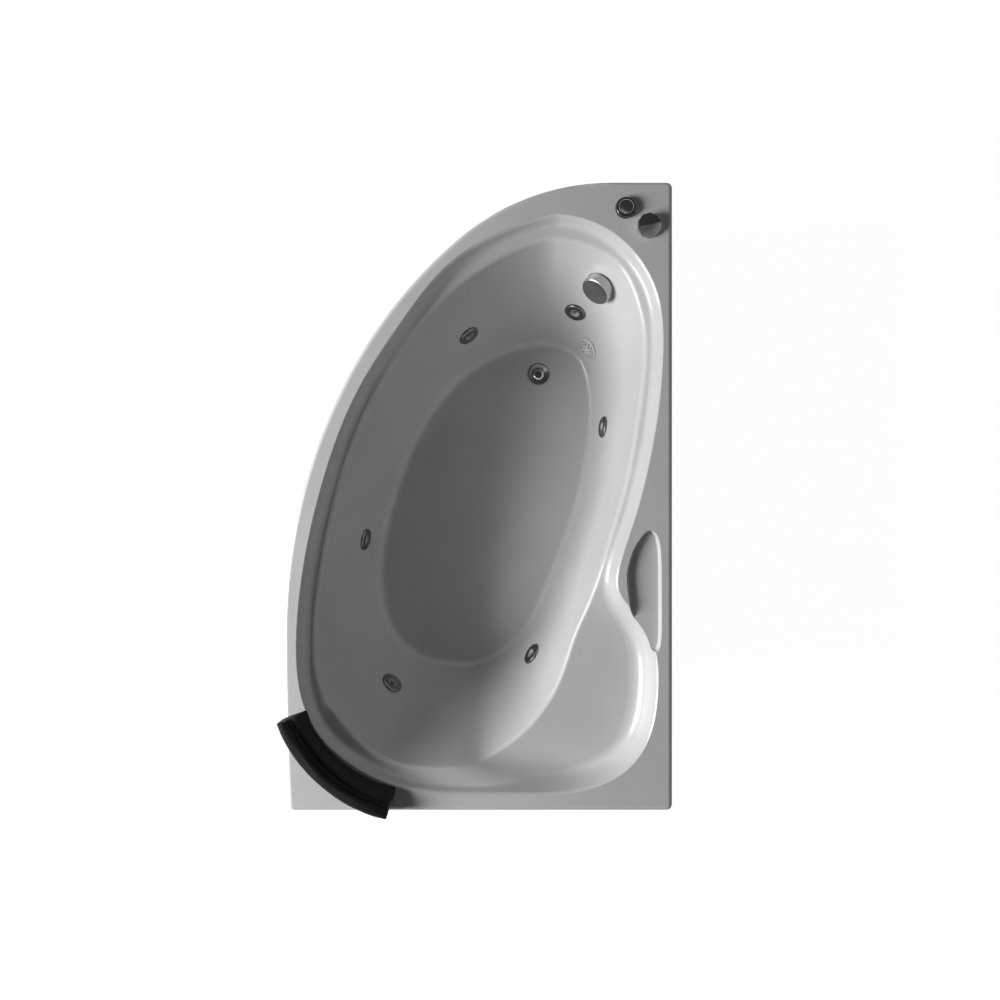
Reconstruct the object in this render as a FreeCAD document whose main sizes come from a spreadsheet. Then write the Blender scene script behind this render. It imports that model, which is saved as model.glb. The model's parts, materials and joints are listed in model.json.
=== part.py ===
import FreeCAD, Part
import math
import os
import re
import Sketcher
from FreeCAD import Placement, Rotation, Vector

# Jetted corner bathtub, lengths in millimetres. The origin lies on the floor under the middle of the rim.
# +X points to the long wall side, +Y to the foot end with the drain, +Z up.

SIZES = {
    # rim, deck and moulded shell
    "tub_length": 1600,
    "tub_width": 990,
    "stand_height": 170,
    "basin_depth": 430,
    "shell_wall": 6,
    "lip_drop": 42,
    "corner_radius": 15,
    "rim_radius": 12,
    "ledge_drop": 28,
    "ledge_run": 15,
    "ledge_fall": 10,
    "shelf_drop": 74,
    "shelf_run": 24,
    "edge_round": 8,
    "ledge_round": 10,
    "shelf_round": 36,
    "basin_round": 10,
    "floor_round": 28,
    "soap_depth": 16,
    "cut_overrun": 1,
    "seat_sink": 0.5,
    "boss_depth": 4,
    "boss_margin": 5,
    # fits
    "run_fit": 0.2,
    "push_fit": 0.1,
    "shaft_fit": 0.05,
    "safe_gap": 0.4,
    # board, rails, posts and feet
    "board_thick": 16,
    "board_inset": 30,
    "board_hole_radius": 62,
    "tube_side": 25,
    "tube_wall": 2,
    "long_rail_length": 860,
    "rail_end_gap": 30,
    "foot_inset": 45,
    "pad_radius": 26,
    "pad_thick": 12,
    "stud_radius": 6,
    "stud_stand_out": 14,
    "nut_radius": 11,
    "nut_thick": 9,
    # curved front panel
    "apron_thick": 4,
    "apron_gap": 1,
    "apron_floor_gap": 10,
    "apron_tuck": 22,
    "bracket_width": 50,
    "bracket_thick": 3,
    "bracket_height": 46,
    "bracket_leg": 58,
    "post_plate": 3,
    # water jets
    "jet_ring_radius": 31,
    "jet_ring_face": 8,
    "jet_ring_bevel": 4,
    "jet_ring_skirt": 1.6,
    "jet_flange_thick": 2.4,
    "jet_ball_radius": 18,
    "jet_ball_sink": 6,
    "jet_mouth_radius": 13,
    "jet_bore_radius": 6,
    "jet_dish_radius": 11,
    "jet_dish_depth": 5,
    "jet_tube_wall": 2.3,
    "jet_tube_depth": 14,
    "jet_sleeve_wall": 3.3,
    "jet_sleeve_depth": 34,
    "gasket_thick": 2,
    "jet_body_wall": 5,
    "jet_body_depth": 52,
    "jet_body_lip": 5,
    "water_stub_radius": 13,
    "water_stub_wall": 2.5,
    "water_stub_reach": 56,
    "air_stub_radius": 5,
    "air_stub_wall": 1.5,
    "air_stub_reach": 50,
    "air_stub_rise": 31,
    "pipe_grip": 18,
    "water_pipe_wall": 3,
    "air_pipe_wall": 2,
    "cap_wall": 2.5,
    "tee_reach": 42,
    "tee_stand_off": 85,
    "tee_rise": 112,
    # suction fitting
    "suction_radius": 34,
    "suction_dome": 9,
    "cover_wall": 2.2,
    "suction_barrel_radius": 21,
    "suction_bore_radius": 17,
    "suction_barrel_length": 70,
    "suction_flange_thick": 3,
    "suction_hole_radius": 3.2,
    "suction_screw_radius": 3,
    "suction_screw_head_radius": 5,
    "suction_rise": 66,
    "suction_thread_length": 34,
    "suction_bridge": 6,
    "ring_nut_thick": 9,
    "ring_nut_width": 7,
    # waste, overflow and trap
    "waste_radius": 33,
    "waste_dish_radius": 28.5,
    "waste_seat_radius": 16,
    "waste_seat_depth": 4.5,
    "waste_lip_thick": 3,
    "waste_throat_radius": 24,
    "waste_tail_radius": 27,
    "waste_tail_length": 30,
    "plug_radius": 18,
    "plug_edge": 2.4,
    "plug_dome": 4,
    "plug_stem_radius": 4,
    "plug_seal_width": 2.4,
    "plug_rest": -2.1,
    "plug_lift": 12,
    "waste_body_wall": 4,
    "waste_body_height": 58,
    "waste_flange_width": 13,
    "side_stub_radius": 14,
    "side_stub_wall": 2.5,
    "side_stub_reach": 56,
    "side_stub_drop": 34,
    "guide_wall": 4,
    "guide_length": 22,
    "spoke_thick": 4,
    "dip_tube_length": 56,
    "trap_cup_radius": 44,
    "trap_cup_height": 62,
    "trap_wall": 3,
    "trap_collar": 4,
    "trap_neck": 12,
    "trap_outlet_radius": 20,
    "trap_outlet_reach": 62,
    "overflow_knob_radius": 42,
    "overflow_knob_height": 26,
    "overflow_knob_wall": 3,
    "overflow_water_gap": 6,
    "overflow_hole_radius": 25,
    "overflow_tube_wall": 3,
    "overflow_spindle_radius": 5,
    "overflow_body_depth": 34,
    "overflow_body_lip": 5,
    "overflow_rise": 294,
    "overflow_bar": 5,
    "side_pipe_wall": 3,
    "cable_radius": 3,
    "cable_boss_radius": 6,
    "cable_boss_reach": 50,
    "cable_offset": 25,
    # deck controls
    "control_hole_radius": 16,
    "control_tail_length": 46,
    "control_stub_length": 20,
    "control_flange_thick": 2,
    "air_knob_radius": 30,
    "air_knob_height": 22,
    "air_knob_round": 2,
    "air_knob_post": 12,
    "button_bezel_radius": 26.5,
    "button_bezel_height": 14,
    "button_radius": 19,
    "button_travel": 4,
    "button_rise": 2,
    "button_dish": 1.5,
    "button_thick": 6,
    "button_stem_radius": 5,
    "button_tube_radius": 3,
    "button_tube_wall": 1.4,
    # pump
    "motor_radius": 70,
    "motor_length": 190,
    "motor_wall": 4,
    "motor_end_thick": 14,
    "bearing_lip": 3,
    "shaft_clear": 2,
    "shaft_start": 5,
    "rib_depth": 3,
    "rib_pitch": 16,
    "stator_thick": 24,
    "stator_length": 90,
    "air_gap": 0.8,
    "shaft_radius": 7,
    "bearing_radius": 17,
    "bearing_width": 11,
    "volute_radius": 84,
    "volute_wall": 6,
    "volute_length": 74,
    "cover_thick": 8,
    "inlet_length": 46,
    "outlet_reach": 112,
    "impeller_radius": 58,
    "impeller_width": 34,
    "impeller_disc": 4,
    "vane_thick": 4,
    "motor_foot_width": 110,
    "motor_foot_length": 120,
    "motor_axis_height": 86,
    "tray_thick": 2,
    "tray_margin": 14,
    "pump_foot_radius": 15,
    "pump_foot_height": 18,
    "terminal_length": 110,
    "terminal_width": 74,
    "terminal_height": 46,
    "terminal_sink": 8,
    "gland_radius": 9,
    "gland_length": 16,
    "main_stub_radius": 20,
    "main_stub_wall": 3,
    "main_pipe_wall": 3.5,
    "clip_width": 10,
    "clip_thick": 1.4,
    "clip_screw_side": 7,
    "clip_screw_length": 14,
    # headrest
    "pillow_back_height": 74,
    "pillow_front_height": 46,
    "cup_radius": 21,
    "cup_thick": 5,
    "cup_stem_radius": 6,
    "cup_stem_height": 12,
    # sizes that follow from the ones above
    "sleeve_bore": "=jet_ball_radius + 2 * run_fit + jet_tube_wall",
    "sleeve_radius": "=sleeve_bore + jet_sleeve_wall",
    "jet_body_radius": "=sleeve_radius + push_fit + jet_body_wall",
    "jet_pipe_depth": "=shell_wall + boss_depth - seat_sink + gasket_thick + jet_body_depth * 0.6",
    "overflow_knob_end": "=overflow_water_gap + overflow_knob_height",
    "overflow_cup_radius": "=overflow_hole_radius + gasket_thick + 2 * overflow_tube_wall",
    "waste_body_depth": "=shell_wall + gasket_thick + waste_body_height",
    "guide_top": "=waste_body_depth - 2 * waste_body_wall - guide_length",
    "plug_stem_length": "=plug_rest + plug_lift + guide_top + guide_wall",
    "button_seat": "=button_bezel_height + button_rise - button_thick",
    "button_nipple_radius": "=button_tube_radius - button_tube_wall - push_fit",
    "stator_radius": "=motor_radius - rib_depth - motor_wall - push_fit",
}

doc = FreeCAD.newDocument("jetted_bathtub")
sheet = doc.addObject("Spreadsheet::Sheet", "Sizes")
for row, (alias, number) in enumerate(SIZES.items(), start=1):
    sheet.set(f"A{row}", alias)
    sheet.set(f"B{row}", str(number))
    sheet.setAlias(f"B{row}", alias)
doc.recompute()

UP = Vector(0, 0, 1)
ALONG_X = Vector(1, 0, 0)
ALONG_Y = Vector(0, 1, 0)
nodes = []


class NamedSizes:
    """Reads one size of the sheet as a number."""

    def __getattr__(self, alias):
        return float(sheet.get(alias))


size = NamedSizes()
half_width = size.tub_width / 2
half_length = size.tub_length / 2
floor_level = size.stand_height
deck_level = size.stand_height + size.basin_depth
deck_under = deck_level - size.shell_wall


def bound(formula):
    """A formula in the sheet's own names, as an expression that points at its cells."""
    return re.sub(r"[a-z]\w+", lambda found: "Sizes." + found.group(0), formula)


def value(formula):
    return float(sheet.evalExpression(bound(formula)))


def node(label, made):
    """Names a finished sub-part."""
    made.Label = label
    nodes.append(made)
    return made


def primitive(kind, label, place, **formulas):
    """A Part primitive with its sizes bound to the sheet."""
    made = doc.addObject(kind, label)
    for name, formula in formulas.items():
        if isinstance(formula, str):
            made.setExpression(name, bound(formula))
        else:
            setattr(made, name, formula)
    made.Placement = place
    return made


def cylinder(label, place, radius, height):
    return primitive("Part::Cylinder", label, place, Radius=radius, Height=height)


def block(label, place, length, width, height):
    """A box that stands on its place, centred on the place's own Z axis."""
    made = primitive("Part::Box", label, place, Length=length, Width=width, Height=height)
    doc.recompute([made])
    middle = Placement(Vector(-made.Length.Value / 2, -made.Width.Value / 2, 0), Rotation())
    made.Placement = place.multiply(middle)
    return made


def united(label, pieces):
    made = doc.addObject("Part::MultiFuse", label)
    made.Shapes = pieces
    return made


def cut(label, base, tools):
    made = doc.addObject("Part::Cut", label)
    made.Base = base
    made.Tool = tools[0] if len(tools) == 1 else united(label + "_tools", tools)
    return made


def group(label, pieces):
    """Like pieces that share one node, each a solid of its own."""
    made = doc.addObject("Part::Compound", label)
    made.Links = pieces
    return node(label, made)


def fixed(label, shape):
    """A piece whose shape follows the moulded contours."""
    made = doc.addObject("Part::Feature", label)
    made.Shape = shape
    return made


def turned(label, outline, place):
    """A body turned about its own Z axis from a closed outline of (radius, height) formulas."""
    body = doc.addObject("PartDesign::Body", label)
    sketch = body.newObject("Sketcher::SketchObject", label + "_outline")
    plane = next(face for face in body.Origin.OriginFeatures if face.Role == "XZ_Plane")
    sketch.AttachmentSupport = [(plane, "")]
    sketch.MapMode = "FlatFace"
    corners = [Vector(value(radius), value(height), 0) for radius, height in outline]
    count = len(corners)
    for i in range(count):
        sketch.addGeometry(Part.LineSegment(corners[i], corners[(i + 1) % count]))
    for i in range(count):
        sketch.addConstraint(Sketcher.Constraint("Coincident", i, 2, (i + 1) % count, 1))
    for i, formulas in enumerate(outline):
        for kind, formula in zip(("DistanceX", "DistanceY"), formulas):
            spot = sketch.addConstraint(Sketcher.Constraint(kind, -1, 1, i, 1, value(formula)))
            sketch.setExpression(f"Constraints[{spot}]", bound(formula))
    turn = body.newObject("PartDesign::Revolution", label + "_turn")
    turn.Profile = sketch
    turn.ReferenceAxis = (sketch, ["V_Axis"])
    turn.Angle = 360
    body.Placement = place
    return body


def at(point, axis=UP, across=ALONG_X):
    """A place with its own Z along axis and its own X as near to across as it can be."""
    return Placement(point, Rotation(across, Vector(), axis, "ZXY"))


def along(place, distance):
    """The same place moved along its own Z."""
    return place.multiply(Placement(UP * distance, Rotation()))


def turned_over(place):
    """The same place with its own Z pointing the other way."""
    return place.multiply(Placement(Vector(), Rotation(ALONG_X, 180)))


def axis_of(place):
    return place.Rotation.multVec(UP)


def share_spot(shares, level):
    return Vector(shares[0] * half_width, shares[1] * half_length, level)


# Outline of the rim: two straight wall sides, and a long curve of tangent arcs that ends at the near corner.
CURVE_SHARES = ((0.69, 1.0), (-0.108, 0.817), (-0.68, 0.371))
NEAR_CORNER_SHARES = (-0.974, -1.0)


def arc_onward(start, heading, end):
    """An arc that leaves start along heading: its middle point and its heading at end."""
    chord = end - start
    bend = math.atan2(heading.x * chord.y - heading.y * chord.x, heading.dot(chord))
    sideways = Vector(chord.y, -chord.x, 0)
    middle = start + chord * 0.5 + sideways * (0.5 * math.tan(bend / 2))
    return middle, Rotation(UP, math.degrees(2 * bend)).multVec(heading)


def curve_chain(inset):
    """Edges of the curved side from its straight start to the near corner, moved in by inset."""
    joints = [share_spot(shares, 0) for shares in CURVE_SHARES]
    heading = Vector(-1, 0, 0)
    edges = []
    halfway = None
    for step in range(4):
        start = joints[step]
        if step == 2:
            slope = (math.atan2(-heading.y, -heading.x) + math.pi / 2) / 2
            fall = (start.x + half_width) * math.tan(slope)
            joints.append(Vector(-half_width, start.y - fall, 0))
        if step == 3:
            joints.append(share_spot(NEAR_CORNER_SHARES, 0))
        end = joints[step + 1]
        middle, onward = arc_onward(start, heading, end)
        moved = []
        halfway = (end - start).normalize()
        for point, way in ((start, heading), (middle, halfway), (end, onward)):
            moved.append(point + Vector(-way.y, way.x, 0) * inset)
        edges.append(Part.Arc(*moved).toShape())
        heading = onward
    return edges


def rim_face(inset):
    """The rim's outline as a face at floor level, moved in by inset."""
    curve = curve_chain(0)
    start, end = curve[0].Vertexes[0].Point, curve[-1].Vertexes[-1].Point
    corners = [end, Vector(half_width, -half_length, 0), Vector(half_width, half_length, 0), start]
    sides = [Part.LineSegment(a, b).toShape() for a, b in zip(corners, corners[1:])]
    wire = Part.Wire(curve + sides)
    if inset:
        wire = wire.makeOffset2D(-inset)
    return Part.Face(wire)


def upright_corners(solid, radius):
    """Rounds the three upright edges where the straight sides end."""
    edges = []
    for edge in solid.Edges:
        if not hasattr(edge.Curve, "Direction") or abs(edge.Curve.Direction.z) < 0.5:
            continue
        spot = edge.CenterOfMass
        if spot.y < -half_length / 2 or (spot.x > half_width / 2 and spot.y > half_length / 2):
            if abs(abs(spot.x) - half_width) < half_width / 10:
                edges.append(edge)
    return solid.makeFillet(radius, edges)


# Contours of the moulded well, clockwise from the foot end, as shares of half the width and half the length.
# Each row: deck edge, basin edge, floor edge, and how much of the way from ledge to low shelf it lies.
WELL_SHARES = (
    (0.423, 0.891, 0.406, 0.830, 0.391, 0.549, 0),
    (0.650, 0.849, 0.620, 0.796, 0.483, 0.539, 0),
    (0.820, 0.757, 0.761, 0.721, 0.557, 0.509, 0),
    (0.920, 0.632, 0.837, 0.605, 0.606, 0.446, 0),
    (0.944, 0.473, 0.863, 0.473, 0.628, 0.350, 0),
    (0.916, 0.259, 0.834, 0.279, 0.622, 0.236, 0),
    (0.853, 0.052, 0.771, 0.059, 0.576, 0.057, 0),
    (0.779, -0.108, 0.693, -0.112, 0.492, -0.126, 0),
    (0.711, -0.258, 0.621, -0.261, 0.388, -0.294, 0.1),
    (0.766, -0.350, 0.568, -0.362, 0.320, -0.397, 0.6),
    (0.890, -0.459, 0.499, -0.467, 0.258, -0.470, 1),
    (0.916, -0.618, 0.422, -0.605, 0.181, -0.523, 1),
    (0.878, -0.755, 0.319, -0.713, 0.116, -0.553, 1),
    (0.752, -0.870, 0.200, -0.790, 0.039, -0.584, 1),
    (0.500, -0.935, 0.052, -0.851, -0.056, -0.601, 0.98),
    (0.139, -0.947, -0.100, -0.874, -0.176, -0.603, 0.08),
    (-0.299, -0.935, -0.346, -0.872, -0.330, -0.584, 0),
    (-0.598, -0.867, -0.565, -0.817, -0.457, -0.527, 0),
    (-0.799, -0.765, -0.740, -0.702, -0.546, -0.428, 0),
    (-0.907, -0.618, -0.826, -0.590, -0.577, -0.306, 0),
    (-0.923, -0.411, -0.842, -0.416, -0.564, -0.195, 0),
    (-0.866, -0.143, -0.785, -0.151, -0.515, -0.050, 0),
    (-0.744, 0.139, -0.670, 0.130, -0.410, 0.144, 0),
    (-0.582, 0.368, -0.503, 0.356, -0.256, 0.316, 0),
    (-0.356, 0.580, -0.283, 0.563, -0.071, 0.442, 0),
    (-0.034, 0.788, 0.035, 0.741, 0.169, 0.524, 0),
)
# The leaf-shaped soap dish on the deck, open to the shelf at its lower end.
SOAP_SHARES = (
    (0.892, -0.108),
    (0.925, -0.130),
    (0.941, -0.187),
    (0.944, -0.300),
    (0.944, -0.411),
    (0.930, -0.488),
    (0.880, -0.485),
    (0.835, -0.440),
    (0.790, -0.380),
    (0.775, -0.335),
    (0.766, -0.293),
    (0.763, -0.251),
    (0.776, -0.206),
    (0.804, -0.162),
    (0.845, -0.124),
)
SOAP_FLOOR_SHARES = (0.86, 0.97)


def outward(points):
    """Level directions that point out of a clockwise ring."""
    ways = []
    for i in range(len(points)):
        chord = points[(i + 1) % len(points)] - points[i - 1]
        ways.append(Vector(-chord.y, chord.x, 0).normalize())
    return ways


def toward_each(points, others, distances):
    return [p + (q - p).normalize() * d for p, q, d in zip(points, others, distances)]


def toward(points, others, distance):
    return toward_each(points, others, [distance] * len(points))


def ring(points):
    """A closed smooth curve through the points, with one unit of parameter from point to point."""
    curve = Part.BSplineCurve()
    curve.interpolate(Points=points, PeriodicFlag=True, Parameters=list(range(len(points) + 1)))
    return curve


def strip(rings):
    """The band between two rings, or a band that bends at the middle one of three."""
    curves = [ring(points) for points in rings]
    poles = [list(row) for row in zip(*[curve.getPoles() for curve in curves])]
    first, count = curves[0], len(curves)
    band = Part.BSplineSurface()
    band.buildFromPolesMultsKnots(
        poles, first.getMultiplicities(), [count, count], first.getKnots(), [0, 1],
        True, False, first.Degree, count - 1,
    )
    return band.toShape()


def level_cap(points):
    return Part.Face(Part.Wire([ring(points).toShape()]))


def closed(faces):
    """One solid from faces that meet edge to edge."""
    skin = Part.makeCompound(faces)
    skin.sewShape()
    solid = Part.makeSolid(skin.Shells[0])
    if solid.Volume < 0:
        solid.reverse()
    return solid


def well_rings(wall):
    """Corner rings of the well, from the deck edge down to the floor, moved out and down by wall."""
    edge = [share_spot(row[0:2], deck_level) for row in WELL_SHARES]
    basin = [share_spot(row[2:4], deck_level) for row in WELL_SHARES]
    floor = [share_spot(row[4:6], floor_level - wall) for row in WELL_SHARES]
    foot, lip = [], []
    for row, p, out, q, away in zip(WELL_SHARES, edge, outward(edge), basin, outward(basin)):
        drop = size.ledge_drop + row[6] * (size.shelf_drop - size.ledge_drop)
        run = size.ledge_run + row[6] * (size.shelf_run - size.ledge_run)
        fall = size.ledge_fall * (1 - row[6])
        foot.append(p - out * (run - wall) - UP * (drop + wall))
        lip.append(q + away * wall - UP * (drop + fall + wall))
    heel = [p + out * (size.floor_round + wall) for p, out in zip(floor, outward(floor))]
    return edge, foot, lip, heel, floor


def wall_rings(wall):
    """The two rings that the straight part of the basin wall runs between."""
    edge, foot, lip, heel, floor = well_rings(wall)
    return toward(lip, heel, size.basin_round), toward(heel, lip, size.floor_round)


def well(wall):
    """The well as a closed solid: its water space at wall 0, or its outside at a wall's thickness."""
    edge, foot, lip, heel, floor = well_rings(wall)
    foot_rounds = [size.ledge_round + row[6] * (size.shelf_round - size.ledge_round) for row in WELL_SHARES]
    if wall:
        top = [p + out * wall - UP * (wall / 2) for p, out in zip(edge, outward(edge))]
        bands = [[top, toward_each(foot, top, foot_rounds)]]
    else:
        lifted = UP * size.cut_overrun
        top = [p + out * size.edge_round + lifted for p, out in zip(edge, outward(edge))]
        below = toward(edge, foot, size.edge_round)
        bands = [[top, edge, below], [below, toward_each(foot, edge, foot_rounds)]]
    ledge_start = toward_each(foot, lip, foot_rounds)
    ledge_end = toward(lip, foot, size.basin_round)
    wall_top, wall_end = wall_rings(wall)
    bands += [
        [bands[-1][-1], foot, ledge_start],
        [ledge_start, ledge_end],
        [ledge_end, lip, wall_top],
        [wall_top, wall_end],
        [wall_end, heel, floor],
    ]
    return closed([strip(band) for band in bands] + [level_cap(top), level_cap(floor)])


def soap_dish(wall):
    """The soap dish as a closed solid, moved out and down by wall."""
    rise = -wall / 2 if wall else size.cut_overrun
    mouth = [share_spot(shares, deck_level + rise) for shares in SOAP_SHARES]
    middle = sum(mouth, Vector()) * (1 / len(mouth))
    bottom = []
    for p in mouth:
        across = (p.x - middle.x) * SOAP_FLOOR_SHARES[0]
        down_tub = (p.y - middle.y) * SOAP_FLOOR_SHARES[1]
        bottom.append(Vector(middle.x + across, middle.y + down_tub, deck_level - size.soap_depth - wall))
    mouth = [p + out * wall for p, out in zip(mouth, outward(mouth))]
    bottom = [p + out * wall for p, out in zip(bottom, outward(bottom))]
    return closed([strip([mouth, bottom]), level_cap(mouth), level_cap(bottom)])


wall_top, wall_end = [ring(points) for points in wall_rings(0)]


def wall_spot(station, rise):
    """A place on the basin wall, at a station of the contours and a height over the floor, its Z inwards."""
    high, low = wall_top.value(station), wall_end.value(station)
    share = (high.z - floor_level - rise) / (high.z - low.z)
    point = high + (low - high) * share
    sideways = wall_top.getD1(station)[1] * (1 - share) + wall_end.getD1(station)[1] * share
    inwards = (low - high).cross(sideways).normalize()
    return at(point, inwards, UP.cross(inwards).normalize())


# Jets: station along the contours, and height over the floor as a share of the basin's depth.
JET_SHARES = ((24.45, 0.395), (1.0, 0.358), (4.95, 0.251), (20.65, 0.326), (10.95, 0.316), (16.9, 0.367))
SUCTION_STATION_SHARE = 2.2
OVERFLOW_STATION_SHARE = 1.5
AIR_TEE_SHARES = (6.3, 0.40)
WASTE_SHARES = (0.35, 0.466)
AIR_CONTROL_SHARES = (0.874, 0.8545)
BUTTON_SHARES = (0.757, 0.9135)
AIR_BRANCH_LEAD_SHARES = (0.12, 0.12)
OVERFLOW_LEAD_SHARES = (0.62, 0.16)
SUCTION_LEAD_SHARES = (0.15, 0.4)
AIR_KNOB_TURN = 13
AIR_KNOB_SLOPE = 26
AIR_KNOB_SCALLOPS = 10
IMPELLER_VANES = 6

seat = -size.seat_sink
jet_places = [along(wall_spot(station, rise * size.basin_depth), seat) for station, rise in JET_SHARES]
suction_place = along(wall_spot(SUCTION_STATION_SHARE, size.suction_rise), seat)
overflow_place = along(wall_spot(OVERFLOW_STATION_SHARE, size.overflow_rise), seat)
waste_place = at(share_spot(WASTE_SHARES, floor_level))
air_place = at(share_spot(AIR_CONTROL_SHARES, deck_level))
button_place = at(share_spot(BUTTON_SHARES, deck_level))
wall_and_boss = size.shell_wall + size.boss_depth - size.seat_sink


def reach(place, radius, low, high):
    """A plain cylinder on a place's own axis, between two heights on it."""
    return Part.makeCylinder(radius, high - low, along(place, low).Base, axis_of(place))


def tub_shell():
    """Acrylic skin with its backing: rim, deck, well, soap dish, flat seats and holes."""
    rim = rim_face(0).extrude(UP * size.lip_drop)
    rim.translate(UP * (deck_level - size.lip_drop))
    rim = upright_corners(rim, size.corner_radius)
    top_edges = [edge for edge in rim.Edges if edge.BoundBox.ZMin > deck_level - size.cut_overrun]
    rim = rim.makeFillet(size.rim_radius, top_edges)
    hollow = rim_face(size.shell_wall).extrude(UP * (size.lip_drop - size.shell_wall + size.cut_overrun))
    hollow.translate(UP * (deck_level - size.lip_drop - size.cut_overrun))
    solids, tools = [well(size.shell_wall), soap_dish(size.shell_wall)], [well(0), soap_dish(0)]
    fittings = [(place, size.jet_ring_radius, size.sleeve_radius + size.run_fit) for place in jet_places]
    fittings.append((suction_place, size.suction_radius, size.suction_barrel_radius + size.run_fit))
    fittings.append((overflow_place, size.overflow_knob_radius, size.overflow_hole_radius + size.run_fit))
    for place, face_radius, hole_radius in fittings:
        seat_radius = face_radius + size.safe_gap
        boss_radius = seat_radius + size.boss_margin
        solids.append(reach(place, boss_radius, -wall_and_boss, -size.shell_wall / 4))
        tools.append(reach(place, seat_radius, 0, face_radius / 2))
        tools.append(reach(place, hole_radius, -2 * wall_and_boss, size.cut_overrun))
    level_holes = [(place, size.control_hole_radius) for place in (air_place, button_place)]
    for place, hole_radius in level_holes + [(waste_place, size.waste_tail_radius)]:
        tools.append(reach(place, hole_radius + size.run_fit, -2 * size.shell_wall, size.cut_overrun))
    return rim.cut(hollow).fuse(solids).cut(tools)


node("tub_shell", fixed("tub_shell", tub_shell()))


# Wooden board glued under the basin floor, with a hole for the waste.
def base_board():
    edge = well_rings(size.shell_wall)[4]
    outline = [p - out * size.board_inset for p, out in zip(edge, outward(edge))]
    board = level_cap(outline).extrude(UP * -size.board_thick)
    return board.cut(reach(waste_place, size.board_hole_radius, -size.stand_height, 0))


node("base_board", fixed("base_board", base_board()))
board_under = floor_level - size.shell_wall - size.board_thick
long_rail_level = board_under - size.tube_side
cross_rail_level = long_rail_level - size.tube_side


# Curved front panel that tucks up inside the rim's lip.
APRON_START_SHARE = 0.97


def apron_chain(inset):
    edges = curve_chain(inset)
    start = Vector(APRON_START_SHARE * half_width, half_length - inset, 0)
    return [Part.LineSegment(start, edges[0].Vertexes[0].Point).toShape()] + edges


def front_apron():
    outside = apron_chain(size.shell_wall + size.apron_gap)
    inside = apron_chain(size.shell_wall + size.apron_gap + size.apron_thick)
    ends = []
    for pick in (0, -1):
        points = [chain[pick].Vertexes[pick].Point for chain in (outside, inside)]
        ends.append(Part.LineSegment(*points).toShape())
    face = Part.Face(Part.Wire(Part.__sortEdges__(outside + inside + ends)))
    panel = face.extrude(UP * (deck_level - size.lip_drop + size.apron_tuck - size.apron_floor_gap))
    panel.translate(UP * size.apron_floor_gap)
    beyond = Part.makeBox(size.tub_width, size.tub_length, deck_level)
    beyond.translate(Vector(-half_width, size.shell_wall + size.apron_gap - half_length - size.tub_length, 0))
    return panel.cut(beyond)


node("front_apron", fixed("front_apron", front_apron()))
apron_inside = curve_chain(size.shell_wall + size.apron_gap + size.apron_thick)


def apron_spot(level_y):
    """The point of the panel's inner face on a line across the tub, and the level way in from there."""
    line = Part.LineSegment(Vector(-half_width, level_y, 0), Vector(0, level_y, 0)).toShape()
    for edge in apron_inside:
        distance, points, info = edge.distToShape(line)
        if distance < size.push_fit:
            point = points[0][0]
            tangent = edge.tangentAt(edge.Curve.parameter(point))
            inwards = Vector(-tangent.y, tangent.x, 0)
            return point, inwards if inwards.x > 0 else inwards * -1


# Pump place: on the long wall side under the shelf, its shaft along +Y and its own X to the wall.
PUMP_SHARES = (0.81, -0.71)
pump_axis_level = value("pump_foot_height + tray_thick + motor_axis_height")
pump_place = at(share_spot(PUMP_SHARES, pump_axis_level), ALONG_Y, ALONG_X)
tray_left = pump_place.Base.x - size.motor_radius - size.tray_margin


# Steel frame: two long rails under the board on three cross rails, and three posts under the rim.
LONG_RAIL_SHARES = (0.17, -0.23)
CROSS_RAIL_SHARES = (-0.575, -0.10, 0.29)
CROSS_RAIL_END_SHARE = 0.66
POST_SHARES = ((0.92, 0.957), (0.92, -0.957), (-0.90, -0.957))


def square_tube(label, place, length, holes=()):
    outside = block(label + "_outside", place, "tube_side", "tube_side", length)
    hollow = "tube_side - 2 * tube_wall"
    return cut(label, outside, [block(label + "_inside", place, hollow, hollow, length), *holes])


def stud_hole(label, spot):
    return cylinder(label, at(spot), "stud_radius + run_fit", "2 * tube_side")


long_rails, cross_rails, brackets, posts, foot_spots = [], [], [], [], []
for number, share in enumerate(LONG_RAIL_SHARES, start=1):
    start = Vector(share * half_width, -size.long_rail_length / 2, long_rail_level + size.tube_side / 2)
    long_rails.append(square_tube(f"long_rail_{number}", at(start, ALONG_Y), "long_rail_length"))
for number, share in enumerate(CROSS_RAIL_SHARES, start=1):
    level_y = share * half_length
    panel_spot, inwards = apron_spot(level_y)
    left = panel_spot.x + size.rail_end_gap
    right = tray_left if number == 1 else CROSS_RAIL_END_SHARE * half_width
    start = Vector(left, level_y, cross_rail_level + size.tube_side / 2)
    holes = []
    for foot_x in (left + size.foot_inset, right - size.foot_inset):
        foot_spots.append(Vector(foot_x, level_y, cross_rail_level))
        holes.append(stud_hole(f"cross_rail_{number}_hole", foot_spots[-1] - UP * size.cut_overrun))
    cross_rails.append(square_tube(f"cross_rail_{number}", at(start, ALONG_X, ALONG_Y), right - left, holes))
    spot = panel_spot + inwards * size.safe_gap + UP * long_rail_level
    plate_place = at(spot + inwards * (size.bracket_thick / 2) - UP * size.tube_side, UP, inwards)
    plate = block(f"bracket_{number}_plate", plate_place, "bracket_thick", "bracket_width", "bracket_height")
    leg_place = at(spot + inwards * (size.bracket_leg / 2), UP, inwards)
    leg = block(f"bracket_{number}_leg", leg_place, "bracket_leg", "tube_side", "bracket_thick")
    brackets.append(united(f"bracket_{number}", [plate, leg]))
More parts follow.
